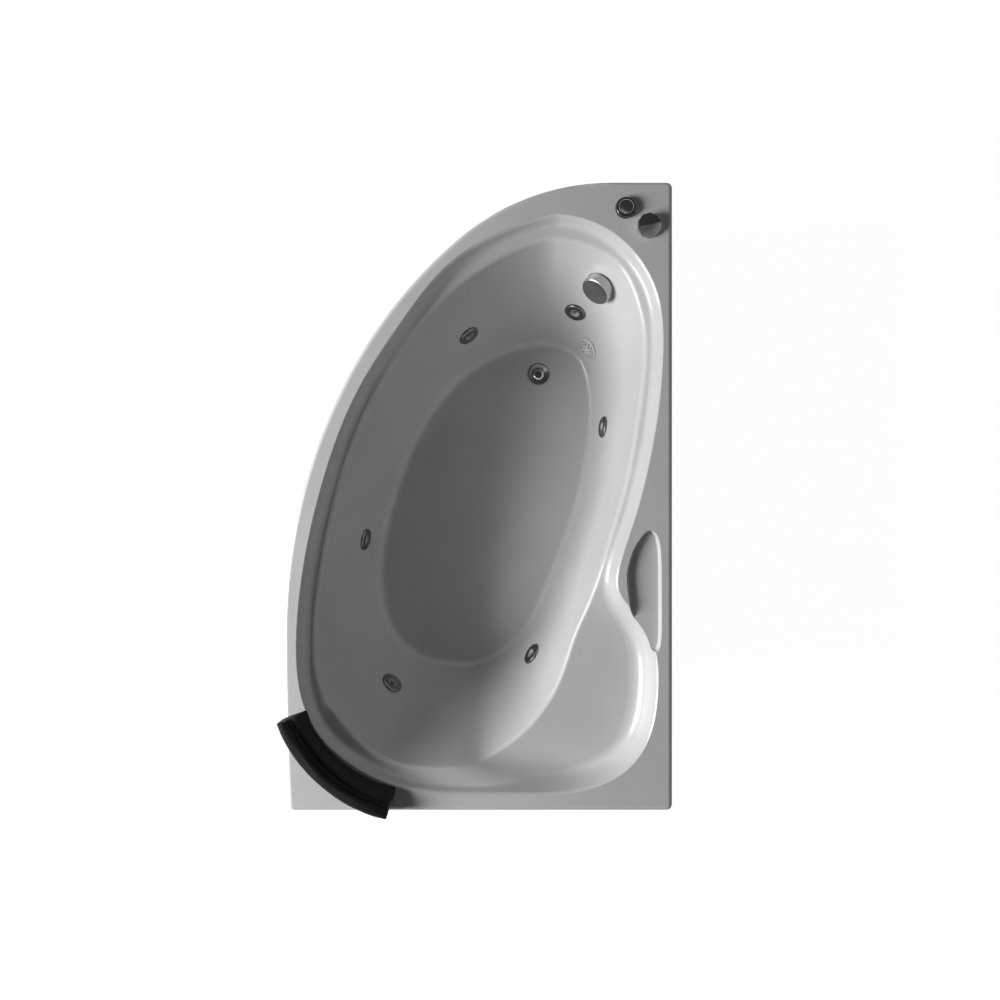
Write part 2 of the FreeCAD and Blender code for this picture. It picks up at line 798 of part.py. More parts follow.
for number, shares in enumerate(POST_SHARES, start=1):
    foot_spots.append(share_spot(shares, cross_rail_level))
    place = at(foot_spots[-1])
    tube = square_tube(f"post_{number}_tube", place, deck_under - cross_rail_level)
    plate = block(f"post_{number}_plate", place, "tube_side", "tube_side", "post_plate")
    hole = stud_hole(f"post_{number}_hole", foot_spots[-1] - UP * size.cut_overrun)
    posts.append(united(f"post_{number}", [tube, cut(f"post_{number}_end", plate, [hole])]))
group("frame_rails", long_rails + cross_rails)
group("apron_brackets", brackets)
group("corner_posts", posts)


# Levelling feet: rubber pad, threaded stud and lock nuts.
def lock_nut(label, spot):
    nut = primitive("Part::Prism", label + "_block", at(spot), Circumradius="nut_radius", Height="nut_thick")
    nut.Polygon = 6
    return cut(label, nut, [cylinder(label + "_thread", at(spot), "stud_radius + push_fit", "nut_thick")])


pads, studs, nuts = [], [], []
for number, spot in enumerate(foot_spots, start=1):
    ground = Vector(spot.x, spot.y, 0)
    pads.append(turned(f"foot_pad_{number}", (
        ("0", "0"),
        ("pad_radius", "0"),
        ("pad_radius", "pad_thick / 2"),
        ("pad_radius - pad_thick / 2", "pad_thick"),
        ("stud_radius + push_fit", "pad_thick"),
        ("stud_radius + push_fit", "pad_thick / 3"),
        ("0", "pad_thick / 3"),
    ), at(ground)))
    studs.append(cylinder(
        f"foot_stud_{number}", at(ground + UP * (size.pad_thick / 3)), "stud_radius",
        spot.z + size.tube_side + size.nut_thick + size.stud_stand_out / 3 - size.pad_thick / 3,
    ))
    nuts.append(lock_nut(f"foot_nut_{number}_low", spot - UP * size.nut_thick))
    if number <= 2 * len(CROSS_RAIL_SHARES):
        nuts.append(lock_nut(f"foot_nut_{number}_high", spot + UP * size.tube_side))
group("foot_pads", pads)
group("foot_studs", studs)
group("foot_nuts", nuts)


# Jets: a chrome ring that turns, an eyeball nozzle in it, a threaded sleeve through the wall,
# and behind the wall a gasket and a body with through pipes for water and air.
BALL_ANGLES = (-28, 42)
ball_face = size.jet_ball_radius * math.sin(math.radians(BALL_ANGLES[1])) - size.jet_ball_sink


def jet_ring(label, place):
    blank = turned(label + "_blank", (
        ("jet_mouth_radius", "-jet_tube_depth"),
        ("jet_ball_radius + run_fit + jet_tube_wall", "-jet_tube_depth"),
        ("jet_ball_radius + run_fit + jet_tube_wall", "jet_flange_thick + safe_gap"),
        ("jet_ring_radius - jet_ring_skirt", "jet_flange_thick + safe_gap"),
        ("jet_ring_radius - jet_ring_skirt", "safe_gap"),
        ("jet_ring_radius", "safe_gap"),
        ("jet_ring_radius", "jet_ring_face - jet_ring_bevel"),
        ("jet_ring_radius - jet_ring_bevel", "jet_ring_face"),
        ("jet_mouth_radius", "jet_ring_face"),
    ), place)
    centre = along(place, -size.jet_ball_sink)
    seat_ball = primitive("Part::Sphere", label + "_seat", centre, Radius="jet_ball_radius + run_fit")
    return cut(label, blank, [seat_ball])


def jet_nozzle(label, place):
    centre = along(place, -size.jet_ball_sink)
    ball = primitive("Part::Sphere", label + "_ball", centre, Radius="jet_ball_radius")
    ball.Angle1, ball.Angle2 = BALL_ANGLES
    back = along(centre, -size.jet_ball_radius)
    bore = cylinder(label + "_bore", back, "jet_bore_radius", "2 * jet_ball_radius")
    dish = primitive(
        "Part::Cone", label + "_dish", along(place, ball_face - size.jet_dish_depth),
        Radius1="jet_bore_radius",
        Radius2="2 * jet_dish_radius - jet_bore_radius",
        Height="2 * jet_dish_depth",
    )
    return cut(label, ball, [bore, dish])


def jet_sleeve(label, place):
    return turned(label, (
        ("sleeve_bore", "-jet_sleeve_depth"),
        ("sleeve_radius", "-jet_sleeve_depth"),
        ("sleeve_radius", "0"),
        ("jet_ring_radius - jet_ring_skirt - safe_gap", "0"),
        ("jet_ring_radius - jet_ring_skirt - safe_gap", "jet_flange_thick"),
        ("sleeve_bore", "jet_flange_thick"),
    ), place)


def cross_pipe(label, place, rise, depth, reach_size):
    """A place on a pipe that runs along the fitting's own X, at its -X end and pointing to its +X end."""
    start = place.multVec(Vector(-reach_size, rise, -depth))
    return at(start, place.Rotation.multVec(ALONG_X), UP)


def jet_body(label, place):
    front = turned_over(along(place, -wall_and_boss - size.gasket_thick))
    water = cross_pipe(label, place, 0, size.jet_pipe_depth, size.water_stub_reach)
    air = cross_pipe(label, place, size.air_stub_rise, size.jet_pipe_depth, size.air_stub_reach)
    port = at(along(place, -size.jet_pipe_depth).Base, place.Rotation.multVec(ALONG_Y))
    outside = united(label + "_outside", [
        cylinder(label + "_barrel", front, "jet_body_radius", "jet_body_depth"),
        cylinder(label + "_lip", front, "jet_body_radius + jet_body_lip", "jet_body_lip"),
        cylinder(label + "_water", water, "water_stub_radius", "2 * water_stub_reach"),
        cylinder(label + "_air", air, "air_stub_radius", "2 * air_stub_reach"),
    ])
    return cut(label, outside, [
        cylinder(label + "_chamber", front, "sleeve_radius + push_fit", "jet_body_depth - jet_body_wall"),
        cylinder(label + "_water_bore", water, "water_stub_radius - water_stub_wall", "2 * water_stub_reach"),
        cylinder(label + "_air_bore", air, "air_stub_radius - air_stub_wall", "2 * air_stub_reach"),
        cylinder(label + "_air_port", port, "air_stub_radius / 2", "air_stub_rise"),
    ])


def wall_gasket(label, place, hole, rim):
    back = along(place, -wall_and_boss - size.gasket_thick)
    disc = cylinder(label + "_disc", back, rim, "gasket_thick")
    return cut(label, disc, [cylinder(label + "_hole", back, hole, "gasket_thick")])


sleeves, bodies, gaskets = [], [], []
for number, place in enumerate(jet_places, start=1):
    node(f"jet_ring_{number}", jet_ring(f"jet_ring_{number}", place))
    node(f"jet_nozzle_{number}", jet_nozzle(f"jet_nozzle_{number}", place))
    sleeves.append(jet_sleeve(f"jet_sleeve_{number}", place))
    bodies.append(jet_body(f"jet_body_{number}", place))
    gaskets.append(wall_gasket(f"jet_gasket_{number}", place, "sleeve_radius + push_fit", "jet_body_radius"))
group("jet_sleeves", sleeves)
group("jet_bodies", bodies)


# Tees: the water tee stands over the pump's outlet, the air tee behind the wall beside the low shelf.
WATER_STUB = ("water_stub_radius", "water_stub_wall")
AIR_STUB = ("air_stub_radius", "air_stub_wall")
MAIN_STUB = ("main_stub_radius", "main_stub_wall")


def tee(label, place, run_stub, branch_stub):
    """A run along the place's own X with a branch along its own Z."""
    stub, wall = run_stub
    branch, branch_wall = branch_stub
    run = at(place.multVec(Vector(-size.tee_reach, 0, 0)), place.Rotation.multVec(ALONG_X), UP)
    outside = united(label + "_outside", [
        cylinder(label + "_run", run, stub, "2 * tee_reach"),
        cylinder(label + "_branch", place, branch, "tee_reach"),
    ])
    return cut(label, outside, [
        cylinder(label + "_run_bore", run, f"{stub} - {wall}", "2 * tee_reach"),
        cylinder(label + "_branch_bore", place, f"{branch} - {branch_wall}", "tee_reach"),
    ])


outlet_place = at(pump_place.multVec(UP * value("motor_length + volute_length / 2")), UP, ALONG_Y)
water_tee_place = at(outlet_place.Base + UP * value("outlet_reach + tee_rise"), UP * -1, ALONG_Y)
behind = wall_spot(AIR_TEE_SHARES[0], AIR_TEE_SHARES[1] * size.basin_depth)
outside_way = (axis_of(behind) - UP * axis_of(behind).z).normalize() * -1
air_tee_place = at(behind.Base + outside_way * size.tee_stand_off, UP, behind.Rotation.multVec(ALONG_X))
group("pipe_tees", [
    tee("water_tee", water_tee_place, WATER_STUB, MAIN_STUB),
    tee("air_tee", air_tee_place, AIR_STUB, AIR_STUB),
])


# Bent plastic pipes are pushed over stubs. A stub is given by its tip and the way it points.
BEND_SHARE = 0.45
LEAD_SHARES = (0.35, 0.35)


def bent_path(points):
    """Straight runs joined by arcs that touch both runs."""
    edges, last = [], points[0]
    for before, corner, after in zip(points, points[1:], points[2:]):
        back, ahead = before - corner, after - corner
        touch = BEND_SHARE * min(back.Length, ahead.Length)
        half = back.getAngle(ahead) / 2
        back.normalize()
        ahead.normalize()
        if math.pi / 2 - half < math.radians(1):
            continue
        start, end = corner + back * touch, corner + ahead * touch
        crown = corner + (back + ahead).normalize() * (touch / math.cos(half) - touch * math.tan(half))
        edges.append(Part.LineSegment(last, start).toShape())
        edges.append(Part.Arc(start, crown, end).toShape())
        last = end
    edges.append(Part.LineSegment(last, points[-1]).toShape())
    return Part.Wire(edges)


def pipe(points, bore, wall):
    path = bent_path(points)
    skins = []
    for radius in (bore + wall, bore):
        mouth = Part.Wire([Part.makeCircle(radius, points[0], points[1] - points[0])])
        skins.append(path.makePipeShell([mouth], True, False))
    return skins[0].cut(skins[1])


def pipe_points(first, last, leads=LEAD_SHARES):
    """Route of a pipe between two stubs, with straight leads as shares of the distance."""
    tip, way = first
    far_tip, far_way = last
    span = (far_tip - tip).Length
    return [
        tip - way * size.pipe_grip,
        tip + way * (leads[0] * span),
        far_tip + far_way * (leads[1] * span),
        far_tip - far_way * size.pipe_grip,
    ]


def side_stub(place, sign, rise, depth, reach_size):
    way = place.Rotation.multVec(ALONG_X) * sign
    return place.multVec(Vector(sign * reach_size, rise, -depth)), way


def water_stub(number, sign):
    place = jet_places[number - 1]
    return side_stub(place, sign, 0, size.jet_pipe_depth, size.water_stub_reach)


def air_stub(number, sign):
    place = jet_places[number - 1]
    return side_stub(place, sign, size.air_stub_rise, size.jet_pipe_depth, size.air_stub_reach)


def tee_stub(place, sign):
    return side_stub(place, sign, 0, 0, size.tee_reach)


clips = []


def pipe_clip(label, tip, way, radius):
    """A steel band with its screw block, on a pipe's end."""
    aside = ALONG_X if abs(way.z) > 0.7 else UP
    place = at(tip - way * ((size.pipe_grip + size.clip_width) / 2), way, aside * -1)
    band = cylinder(label + "_band", place, f"{radius} + push_fit + clip_thick", "clip_width")
    screw_spot = place.multVec(ALONG_X * value(f"{radius} + push_fit + clip_screw_side / 2"))
    screw = block(
        label + "_screw", at(screw_spot, way, place.Rotation.multVec(ALONG_X)),
        "clip_screw_side", "clip_screw_length", "clip_width",
    )
    clips.append(cut(label, united(label + "_outside", [band, screw]), [
        cylinder(label + "_inside", place, f"{radius} + push_fit", "clip_width"),
    ]))


def clipped_pipe(label, first, last, stub, wall, leads=LEAD_SHARES):
    for end, (tip, way) in enumerate((first, last), start=1):
        pipe_clip(f"{label}_clip_{end}", tip, way, f"{stub} + push_fit + {wall}")
    return fixed(label, pipe(pipe_points(first, last, leads), value(f"{stub} + push_fit"), value(wall)))


jet_order = (3, 2, 1, 4, 6)
water_runs = [
    (tee_stub(water_tee_place, 1), water_stub(3, 1)),
    (tee_stub(water_tee_place, -1), water_stub(5, 1)),
]
air_runs = [
    (tee_stub(air_tee_place, -1), air_stub(3, 1)),
    (tee_stub(air_tee_place, 1), air_stub(5, -1)),
]
for one, other in zip(jet_order, jet_order[1:]):
    water_runs.append((water_stub(one, -1), water_stub(other, 1)))
    air_runs.append((air_stub(one, -1), air_stub(other, 1)))
water_pipes, air_pipes = [], []
for number, run in enumerate(water_runs, start=1):
    water_pipes.append(clipped_pipe(f"water_pipe_{number}", *run, "water_stub_radius", "water_pipe_wall"))
control_tip = along(air_place, -value("control_tail_length + control_stub_length")).Base
branch_tip = along(air_tee_place, size.tee_reach).Base
air_runs.append(((branch_tip, UP), (control_tip, UP * -1)))
for number, run in enumerate(air_runs, start=1):
    leads = AIR_BRANCH_LEAD_SHARES if number == len(air_runs) else LEAD_SHARES
    made = pipe(pipe_points(*run, leads), value("air_stub_radius + push_fit"), size.air_pipe_wall)
    air_pipes.append(fixed(f"air_pipe_{number}", made))
group("water_pipes", water_pipes)
group("air_pipes", air_pipes)


def stub_cap(label, tip, way, stub):
    return turned(label, (
        (f"{stub} + push_fit", "0"),
        (f"{stub} + push_fit + cap_wall", "0"),
        (f"{stub} + push_fit + cap_wall", "pipe_grip + cap_wall"),
        ("0", "pipe_grip + cap_wall"),
        ("0", "pipe_grip"),
        (f"{stub} + push_fit", "pipe_grip"),
    ), at(tip - way * size.pipe_grip, way))


group("stub_caps", [
    stub_cap("water_cap_1", *water_stub(5, -1), "water_stub_radius"),
    stub_cap("water_cap_2", *water_stub(6, -1), "water_stub_radius"),
    stub_cap("air_cap_1", *air_stub(5, 1), "air_stub_radius"),
    stub_cap("air_cap_2", *air_stub(6, -1), "air_stub_radius"),
])


# Suction fitting low on the foot wall: threaded body with a bridge, perforated white cover and its screw.
SUCTION_HOLE_ROWS = ((8, 0.52), (14, 0.76))


def suction_body():
    tube = turned("suction_tube", (
        ("suction_bore_radius", "-suction_barrel_length"),
        ("main_stub_radius", "-suction_barrel_length"),
        ("main_stub_radius", "-suction_thread_length"),
        ("suction_barrel_radius", "-suction_thread_length"),
        ("suction_barrel_radius", "0"),
        ("suction_radius - 2 * safe_gap", "0"),
        ("suction_radius - 2 * safe_gap", "suction_flange_thick"),
        ("suction_bore_radius", "suction_flange_thick"),
    ), suction_place)
    deep = along(suction_place, -2 * size.suction_bridge)
    bridge = block("suction_bridge", deep, "2 * suction_barrel_radius - suction_bridge", "suction_bridge",
                   "2 * suction_bridge")
    boss = cylinder("suction_boss", deep, "2 * suction_screw_radius", "2 * suction_bridge")
    hole = cylinder("suction_screw_hole", deep, "suction_screw_radius + push_fit", "2 * suction_bridge")
    return cut("suction_body", united("suction_body_outside", [tube, bridge, boss]), [hole])


def suction_cover():
    dome = turned("suction_dome", (
        ("suction_screw_radius + run_fit", "suction_flange_thick + suction_dome"),
        ("suction_radius / 3", "suction_flange_thick + suction_dome"),
        ("suction_radius * 0.75", "suction_flange_thick + suction_dome * 0.75"),
        ("suction_radius", "suction_flange_thick + suction_dome / 4"),
        ("suction_radius", "suction_flange_thick"),
        ("suction_radius - cover_wall", "suction_flange_thick"),
        ("suction_radius * 0.75 - cover_wall / 2", "suction_flange_thick + suction_dome * 0.75 - cover_wall"),
        ("suction_radius / 3", "suction_flange_thick + suction_dome - cover_wall"),
        ("suction_screw_radius + run_fit", "suction_flange_thick + suction_dome - cover_wall"),
    ), suction_place)
    holes = []
    for count, share in SUCTION_HOLE_ROWS:
        for turn in range(count):
            spot = Rotation(UP, 360 * turn / count).multVec(ALONG_X * (share * size.suction_radius))
            holes.append(cylinder(
                "suction_hole", suction_place.multiply(Placement(spot, Rotation())),
                "suction_hole_radius", "2 * suction_dome",
            ))
    return cut("suction_cover", dome, holes)


node("suction_body", suction_body())
node("suction_cover", suction_cover())
node("suction_screw", turned("suction_screw", (
    ("0", "-2 * suction_bridge"),
    ("suction_screw_radius", "-2 * suction_bridge"),
    ("suction_screw_radius", "suction_flange_thick + suction_dome"),
    ("suction_screw_head_radius", "suction_flange_thick + suction_dome"),
    ("suction_screw_head_radius", "suction_flange_thick + suction_dome + suction_screw_radius / 2"),
    ("suction_screw_radius", "suction_flange_thick + suction_dome + suction_screw_radius"),
    ("0", "suction_flange_thick + suction_dome + suction_screw_radius"),
), suction_place))
gaskets.append(wall_gasket("suction_gasket", suction_place, "suction_barrel_radius + push_fit",
                           "suction_barrel_radius + ring_nut_width"))


# Waste in the basin floor: flange, lifting plug with its seal, body with a stem guide, and bottle trap.
node("waste_flange", turned("waste_flange", (
    ("waste_throat_radius", "-waste_tail_length"),
    ("waste_tail_radius", "-waste_tail_length"),
    ("waste_tail_radius", "0"),
    ("waste_radius", "0"),
    ("waste_radius", "waste_lip_thick / 2"),
    ("waste_radius - waste_lip_thick / 2", "waste_lip_thick"),
    ("waste_dish_radius + waste_lip_thick / 3", "waste_lip_thick"),
    ("waste_dish_radius", "waste_lip_thick * 0.8"),
    ("waste_seat_radius", "-waste_seat_depth"),
    ("waste_seat_radius", "-waste_seat_depth - waste_lip_thick"),
    ("waste_throat_radius", "-waste_seat_depth - waste_lip_thick"),
), waste_place))
node("waste_plug", turned("waste_plug", (
    ("0", "plug_rest - plug_stem_length"),
    ("plug_stem_radius", "plug_rest - plug_stem_length"),
    ("plug_stem_radius", "plug_rest"),
    ("plug_radius", "plug_rest"),
    ("plug_radius", "plug_rest + plug_edge / 2"),
    ("plug_radius - plug_edge / 2", "plug_rest + plug_edge"),
    ("plug_radius * 0.6", "plug_rest + plug_edge + plug_dome * 0.7"),
    ("plug_radius * 0.3", "plug_rest + plug_edge + plug_dome"),
    ("0", "plug_rest + plug_edge + plug_dome"),
), waste_place))
node("plug_seal", turned("plug_seal", (
    ("waste_seat_radius - plug_seal_width / 3", "plug_rest - plug_seal_width * 0.6"),
    ("waste_seat_radius + plug_seal_width * 0.4", "plug_rest - plug_seal_width * 0.6"),
    ("waste_seat_radius + plug_seal_width * 0.4", "plug_rest"),
    ("waste_seat_radius - plug_seal_width / 3", "plug_rest"),
), waste_place))
waste_top = size.shell_wall + size.gasket_thick
waste_to_overflow = overflow_place.Base - waste_place.Base
waste_to_overflow.z = 0
waste_to_overflow.normalize()
waste_side = waste_to_overflow.cross(UP)
side_level = waste_place.Base - UP * (waste_top + size.side_stub_drop)


def waste_body():
    shell = turned("waste_body_shell", (
        ("waste_tail_radius + push_fit", "-shell_wall - gasket_thick"),
        ("waste_tail_radius + waste_flange_width", "-shell_wall - gasket_thick"),
        ("waste_tail_radius + waste_flange_width", "-shell_wall - gasket_thick - waste_body_wall"),
        ("waste_tail_radius + waste_body_wall", "-shell_wall - gasket_thick - waste_body_wall"),
        ("waste_tail_radius + waste_body_wall", "-waste_body_depth"),
        ("trap_outlet_radius", "-waste_body_depth"),
        ("trap_outlet_radius", "-waste_body_depth - dip_tube_length"),
        ("trap_outlet_radius - trap_wall", "-waste_body_depth - dip_tube_length"),
        ("trap_outlet_radius - trap_wall", "waste_body_wall - waste_body_depth"),
        ("waste_tail_radius + push_fit", "waste_body_wall - waste_body_depth"),
    ), waste_place)
    pieces = [shell]
    guide_end = along(waste_place, -size.waste_body_depth + 2 * size.waste_body_wall)
    guide = cylinder("plug_guide", guide_end, "plug_stem_radius + guide_wall", "guide_length")
    for turn in range(3):
        spin = guide_end.multiply(Placement(Vector(), Rotation(UP, 30 + 120 * turn)))
        midway = ALONG_X * (size.waste_tail_radius / 2 + size.guide_wall)
        spoke = spin.multiply(Placement(midway, Rotation()))
        pieces.append(block(f"guide_spoke_{turn}", spoke, "waste_tail_radius - guide_wall", "spoke_thick",
                            "2 * spoke_thick"))
    side_place = at(side_level, waste_to_overflow)
    cable_place = at(side_level + waste_side * size.cable_offset, waste_to_overflow)
    side_start = along(side_place, size.waste_tail_radius)
    pieces.append(cylinder("waste_side_stub", side_start, "side_stub_radius",
                           "side_stub_reach - waste_tail_radius"))
    pieces.append(cylinder("waste_cable_boss", cable_place, "cable_boss_radius", "cable_boss_reach"))
    stem_hole = cylinder("guide_hole", guide_end, "plug_stem_radius + shaft_fit", "guide_length")
    chamber = cylinder("waste_side_room", guide_end, "waste_tail_radius + push_fit", "side_stub_drop")
    side_bore = cylinder("waste_side_bore", side_place, "side_stub_radius - side_stub_wall",
                         "side_stub_reach")
    cable_bore = cylinder("waste_cable_bore", cable_place, "cable_radius + push_fit", "cable_boss_reach")
    hollow = cut("waste_body_hollow", united("waste_body_outside", [pieces[0], *pieces[4:]]),
                 [chamber, side_bore, cable_bore])
    spider = cut("waste_spider", united("waste_spider_outside", [guide, *pieces[1:4]]), [stem_hole])
    return united("waste_body", [hollow, spider])


def waste_trap():
    cup = turned("trap_cup", (
        ("trap_outlet_radius + push_fit", "-waste_body_depth - safe_gap"),
        ("trap_outlet_radius + trap_collar", "-waste_body_depth - safe_gap"),
        ("trap_outlet_radius + trap_collar", "-waste_body_depth - trap_neck"),
        ("trap_cup_radius", "-waste_body_depth - trap_neck"),
        ("trap_cup_radius", "-waste_body_depth - trap_neck - trap_cup_height"),
        ("0", "-waste_body_depth - trap_neck - trap_cup_height"),
        ("0", "trap_wall - waste_body_depth - trap_neck - trap_cup_height"),
        ("trap_cup_radius - trap_wall", "trap_wall - waste_body_depth - trap_neck - trap_cup_height"),
        ("trap_cup_radius - trap_wall", "-waste_body_depth - trap_neck - trap_wall"),
        ("trap_outlet_radius + push_fit", "-waste_body_depth - trap_neck - trap_wall"),
    ), waste_place)
    level = waste_place.Base - UP * value("waste_body_depth + trap_neck + trap_wall + trap_outlet_radius")
    root = at(level + ALONG_X * (size.trap_cup_radius - 3 * size.trap_wall), ALONG_X, UP)
    outlet = cylinder("trap_outlet", root, "trap_outlet_radius", "trap_outlet_reach + 2 * trap_wall")
    collar = cylinder("trap_outlet_collar", root, "trap_outlet_radius + trap_collar",
                      "trap_neck + 2 * trap_wall")
    bore = cylinder("trap_bore", root, "trap_outlet_radius - trap_wall", "trap_outlet_reach + 2 * trap_wall")
    cup_floor = along(waste_place, value("trap_wall - waste_body_depth - trap_neck - trap_cup_height"))
    room = cylinder("trap_room", cup_floor, "trap_cup_radius - trap_wall", "trap_cup_height - 2 * trap_wall")
    return cut("waste_trap", united("trap_outside", [cup, outlet, collar]), [bore, room])


node("waste_body", waste_body())
node("waste_trap", waste_trap())
gaskets.append(wall_gasket("waste_gasket", along(waste_place, wall_and_boss - size.shell_wall),
                           "waste_tail_radius + push_fit", "waste_tail_radius + waste_flange_width"))


# Overflow high on the foot wall: body behind the wall, and a round knob that turns to lift the plug.
overflow_back = along(overflow_place, -wall_and_boss - size.gasket_thick)
overflow_middle = along(overflow_back, -size.overflow_body_depth / 2).Base
overflow_side = overflow_place.Rotation.multVec(ALONG_X)
cable_start = overflow_middle + overflow_side * size.cable_offset


def overflow_body():
    cup = turned_over(overflow_back)
    down = at(overflow_middle, UP * -1)
    cable_down = at(cable_start, UP * -1)
    neck_length = size.gasket_thick + wall_and_boss
    outside = united("overflow_outside", [
        cylinder("overflow_cup", cup, "overflow_cup_radius", "overflow_body_depth"),
        cylinder("overflow_lip", cup, "overflow_cup_radius + overflow_body_lip", "overflow_body_lip"),
        cylinder("overflow_neck", overflow_back, "overflow_hole_radius", neck_length),
        cylinder("overflow_spigot", down, "side_stub_radius", "side_stub_reach"),
        cylinder("overflow_cable_boss", cable_down, "cable_boss_radius", "cable_boss_reach"),
    ])
    hollow = cut("overflow_hollow", outside, [
        cylinder("overflow_room", along(cup, size.overflow_tube_wall),
                 "overflow_cup_radius - overflow_tube_wall", "overflow_body_depth - 2 * overflow_tube_wall"),
        cylinder("overflow_throat", along(overflow_back, -2 * size.overflow_tube_wall),
                 "overflow_hole_radius - overflow_tube_wall", "overflow_hole_radius"),
        cylinder("overflow_bore", down, "side_stub_radius - side_stub_wall", "side_stub_reach"),
        cylinder("overflow_cable_bore", cable_down, "cable_radius + push_fit", "cable_boss_reach"),
    ])
    bar = block("overflow_bar", along(overflow_place, -2 * size.overflow_bar),
                "2 * overflow_hole_radius - overflow_tube_wall", "overflow_bar", "overflow_bar")
    spindle = cylinder(
        "overflow_spindle", along(overflow_place, -2 * size.overflow_bar), "overflow_spindle_radius",
        "2 * overflow_bar + overflow_water_gap + overflow_knob_height - overflow_knob_wall",
    )
    return united("overflow_body", [hollow, bar, spindle])


node("overflow_body", overflow_body())
node("overflow_knob", turned("overflow_knob", (
    ("overflow_spindle_radius + shaft_fit", "overflow_water_gap"),
    ("overflow_spindle_radius + overflow_knob_wall", "overflow_water_gap"),
    ("overflow_spindle_radius + overflow_knob_wall", "overflow_knob_end - overflow_knob_wall"),
    ("overflow_knob_radius - overflow_knob_wall", "overflow_knob_end - overflow_knob_wall"),
    ("overflow_knob_radius - overflow_knob_wall", "overflow_water_gap"),
    ("overflow_knob_radius", "overflow_water_gap"),
    ("overflow_knob_radius", "overflow_knob_end - overflow_knob_wall / 2"),
    ("overflow_knob_radius - overflow_knob_wall / 2", "overflow_knob_end"),
    ("0", "overflow_knob_end"),
    ("0", "overflow_knob_end - overflow_knob_wall + safe_gap"),
    ("overflow_spindle_radius + shaft_fit", "overflow_knob_end - overflow_knob_wall + safe_gap"),
), overflow_place))
gaskets.append(wall_gasket("overflow_gasket", overflow_place, "overflow_hole_radius + push_fit",
                           "overflow_cup_radius"))
group("wall_gaskets", gaskets)
overflow_tip = overflow_middle - UP * size.side_stub_reach
node("overflow_pipe", clipped_pipe(
    "overflow_pipe", (overflow_tip, UP * -1),
    (side_level + waste_to_overflow * size.side_stub_reach, waste_to_overflow),
    "side_stub_radius", "side_pipe_wall", OVERFLOW_LEAD_SHARES,
))
cable_end = side_level + waste_side * size.cable_offset + waste_to_overflow * size.cable_boss_reach
cable_points = pipe_points(
    (cable_start - UP * size.cable_boss_reach, UP * -1),
    (cable_end, waste_to_overflow),
    OVERFLOW_LEAD_SHARES,
)
cable_way = cable_points[1] - cable_points[0]
cable_mouth = Part.Wire([Part.makeCircle(size.cable_radius, cable_points[0], cable_way)])
node("plug_cable", fixed("plug_cable", bent_path(cable_points).makePipeShell([cable_mouth], True, False)))


# Deck controls: air control with its turning knob, and the pneumatic pump button in its bezel.
node("air_control_body", turned("air_control_body", (
    ("air_stub_radius - air_stub_wall", "-control_tail_length - control_stub_length"),
    ("air_stub_radius", "-control_tail_length - control_stub_length"),
    ("air_stub_radius", "-control_tail_length"),
    ("control_hole_radius", "-control_tail_length"),
    ("control_hole_radius", "0"),
    ("air_knob_radius * 0.8", "0"),
    ("air_knob_radius * 0.8", "control_flange_thick"),
    ("control_hole_radius / 2", "control_flange_thick"),
    ("control_hole_radius / 2", "air_knob_post"),
    ("air_stub_radius - air_stub_wall", "air_knob_post"),
), air_place))


def air_control_knob():
    cap = turned("air_knob_cap", (
        ("control_hole_radius / 2 + shaft_fit", "control_flange_thick + safe_gap"),
        ("air_knob_radius", "control_flange_thick + safe_gap"),
        ("air_knob_radius", "air_knob_height - air_knob_round"),
        ("air_knob_radius - air_knob_round", "air_knob_height"),
        ("0", "air_knob_height"),
        ("0", "air_knob_post + safe_gap"),
        ("control_hole_radius / 2 + shaft_fit", "air_knob_post + safe_gap"),
    ), air_place)
    split = along(air_place, size.air_knob_height).multiply(Placement(Vector(), Rotation(UP, AIR_KNOB_TURN)))
    slope = split.multiply(Placement(Vector(), Rotation(ALONG_X, AIR_KNOB_SLOPE)))
    near_half = slope.multiply(Placement(ALONG_Y * -size.air_knob_radius, Rotation()))
    tools = [block("air_knob_finger_face", near_half, "3 * air_knob_radius", "2 * air_knob_radius",
                   "air_knob_height")]
    scallop_arm = ALONG_X * value("air_knob_radius + air_knob_round")
    for turn in range(AIR_KNOB_SCALLOPS):
        spot = Rotation(UP, 360 * turn / AIR_KNOB_SCALLOPS).multVec(scallop_arm)
        tools.append(cylinder("air_knob_scallop", air_place.multiply(Placement(spot, Rotation())),
                              "2 * air_knob_round", "2 * air_knob_height"))
    return cut("air_control_knob", cap, tools)


node("air_control_knob", air_control_knob())
node("button_body", turned("button_body", (
    ("button_nipple_radius / 2", "-control_tail_length - control_stub_length"),
    ("button_nipple_radius", "-control_tail_length - control_stub_length"),
    ("button_nipple_radius", "-control_tail_length"),
    ("control_hole_radius", "-control_tail_length"),
    ("control_hole_radius", "0"),
    ("button_bezel_radius", "0"),
    ("button_bezel_radius", "button_bezel_height - button_rise"),
    ("button_bezel_radius - button_rise", "button_bezel_height"),
    ("button_radius + button_rise", "button_bezel_height"),
    ("button_radius + safe_gap", "button_bezel_height - button_rise"),
    ("button_radius + safe_gap", "button_seat - button_travel - safe_gap"),
    ("button_stem_radius + safe_gap", "button_seat - button_travel - safe_gap"),
    ("button_stem_radius + safe_gap", "-control_tail_length * 0.75"),
    ("button_nipple_radius / 2", "-control_tail_length * 0.75"),
), button_place))
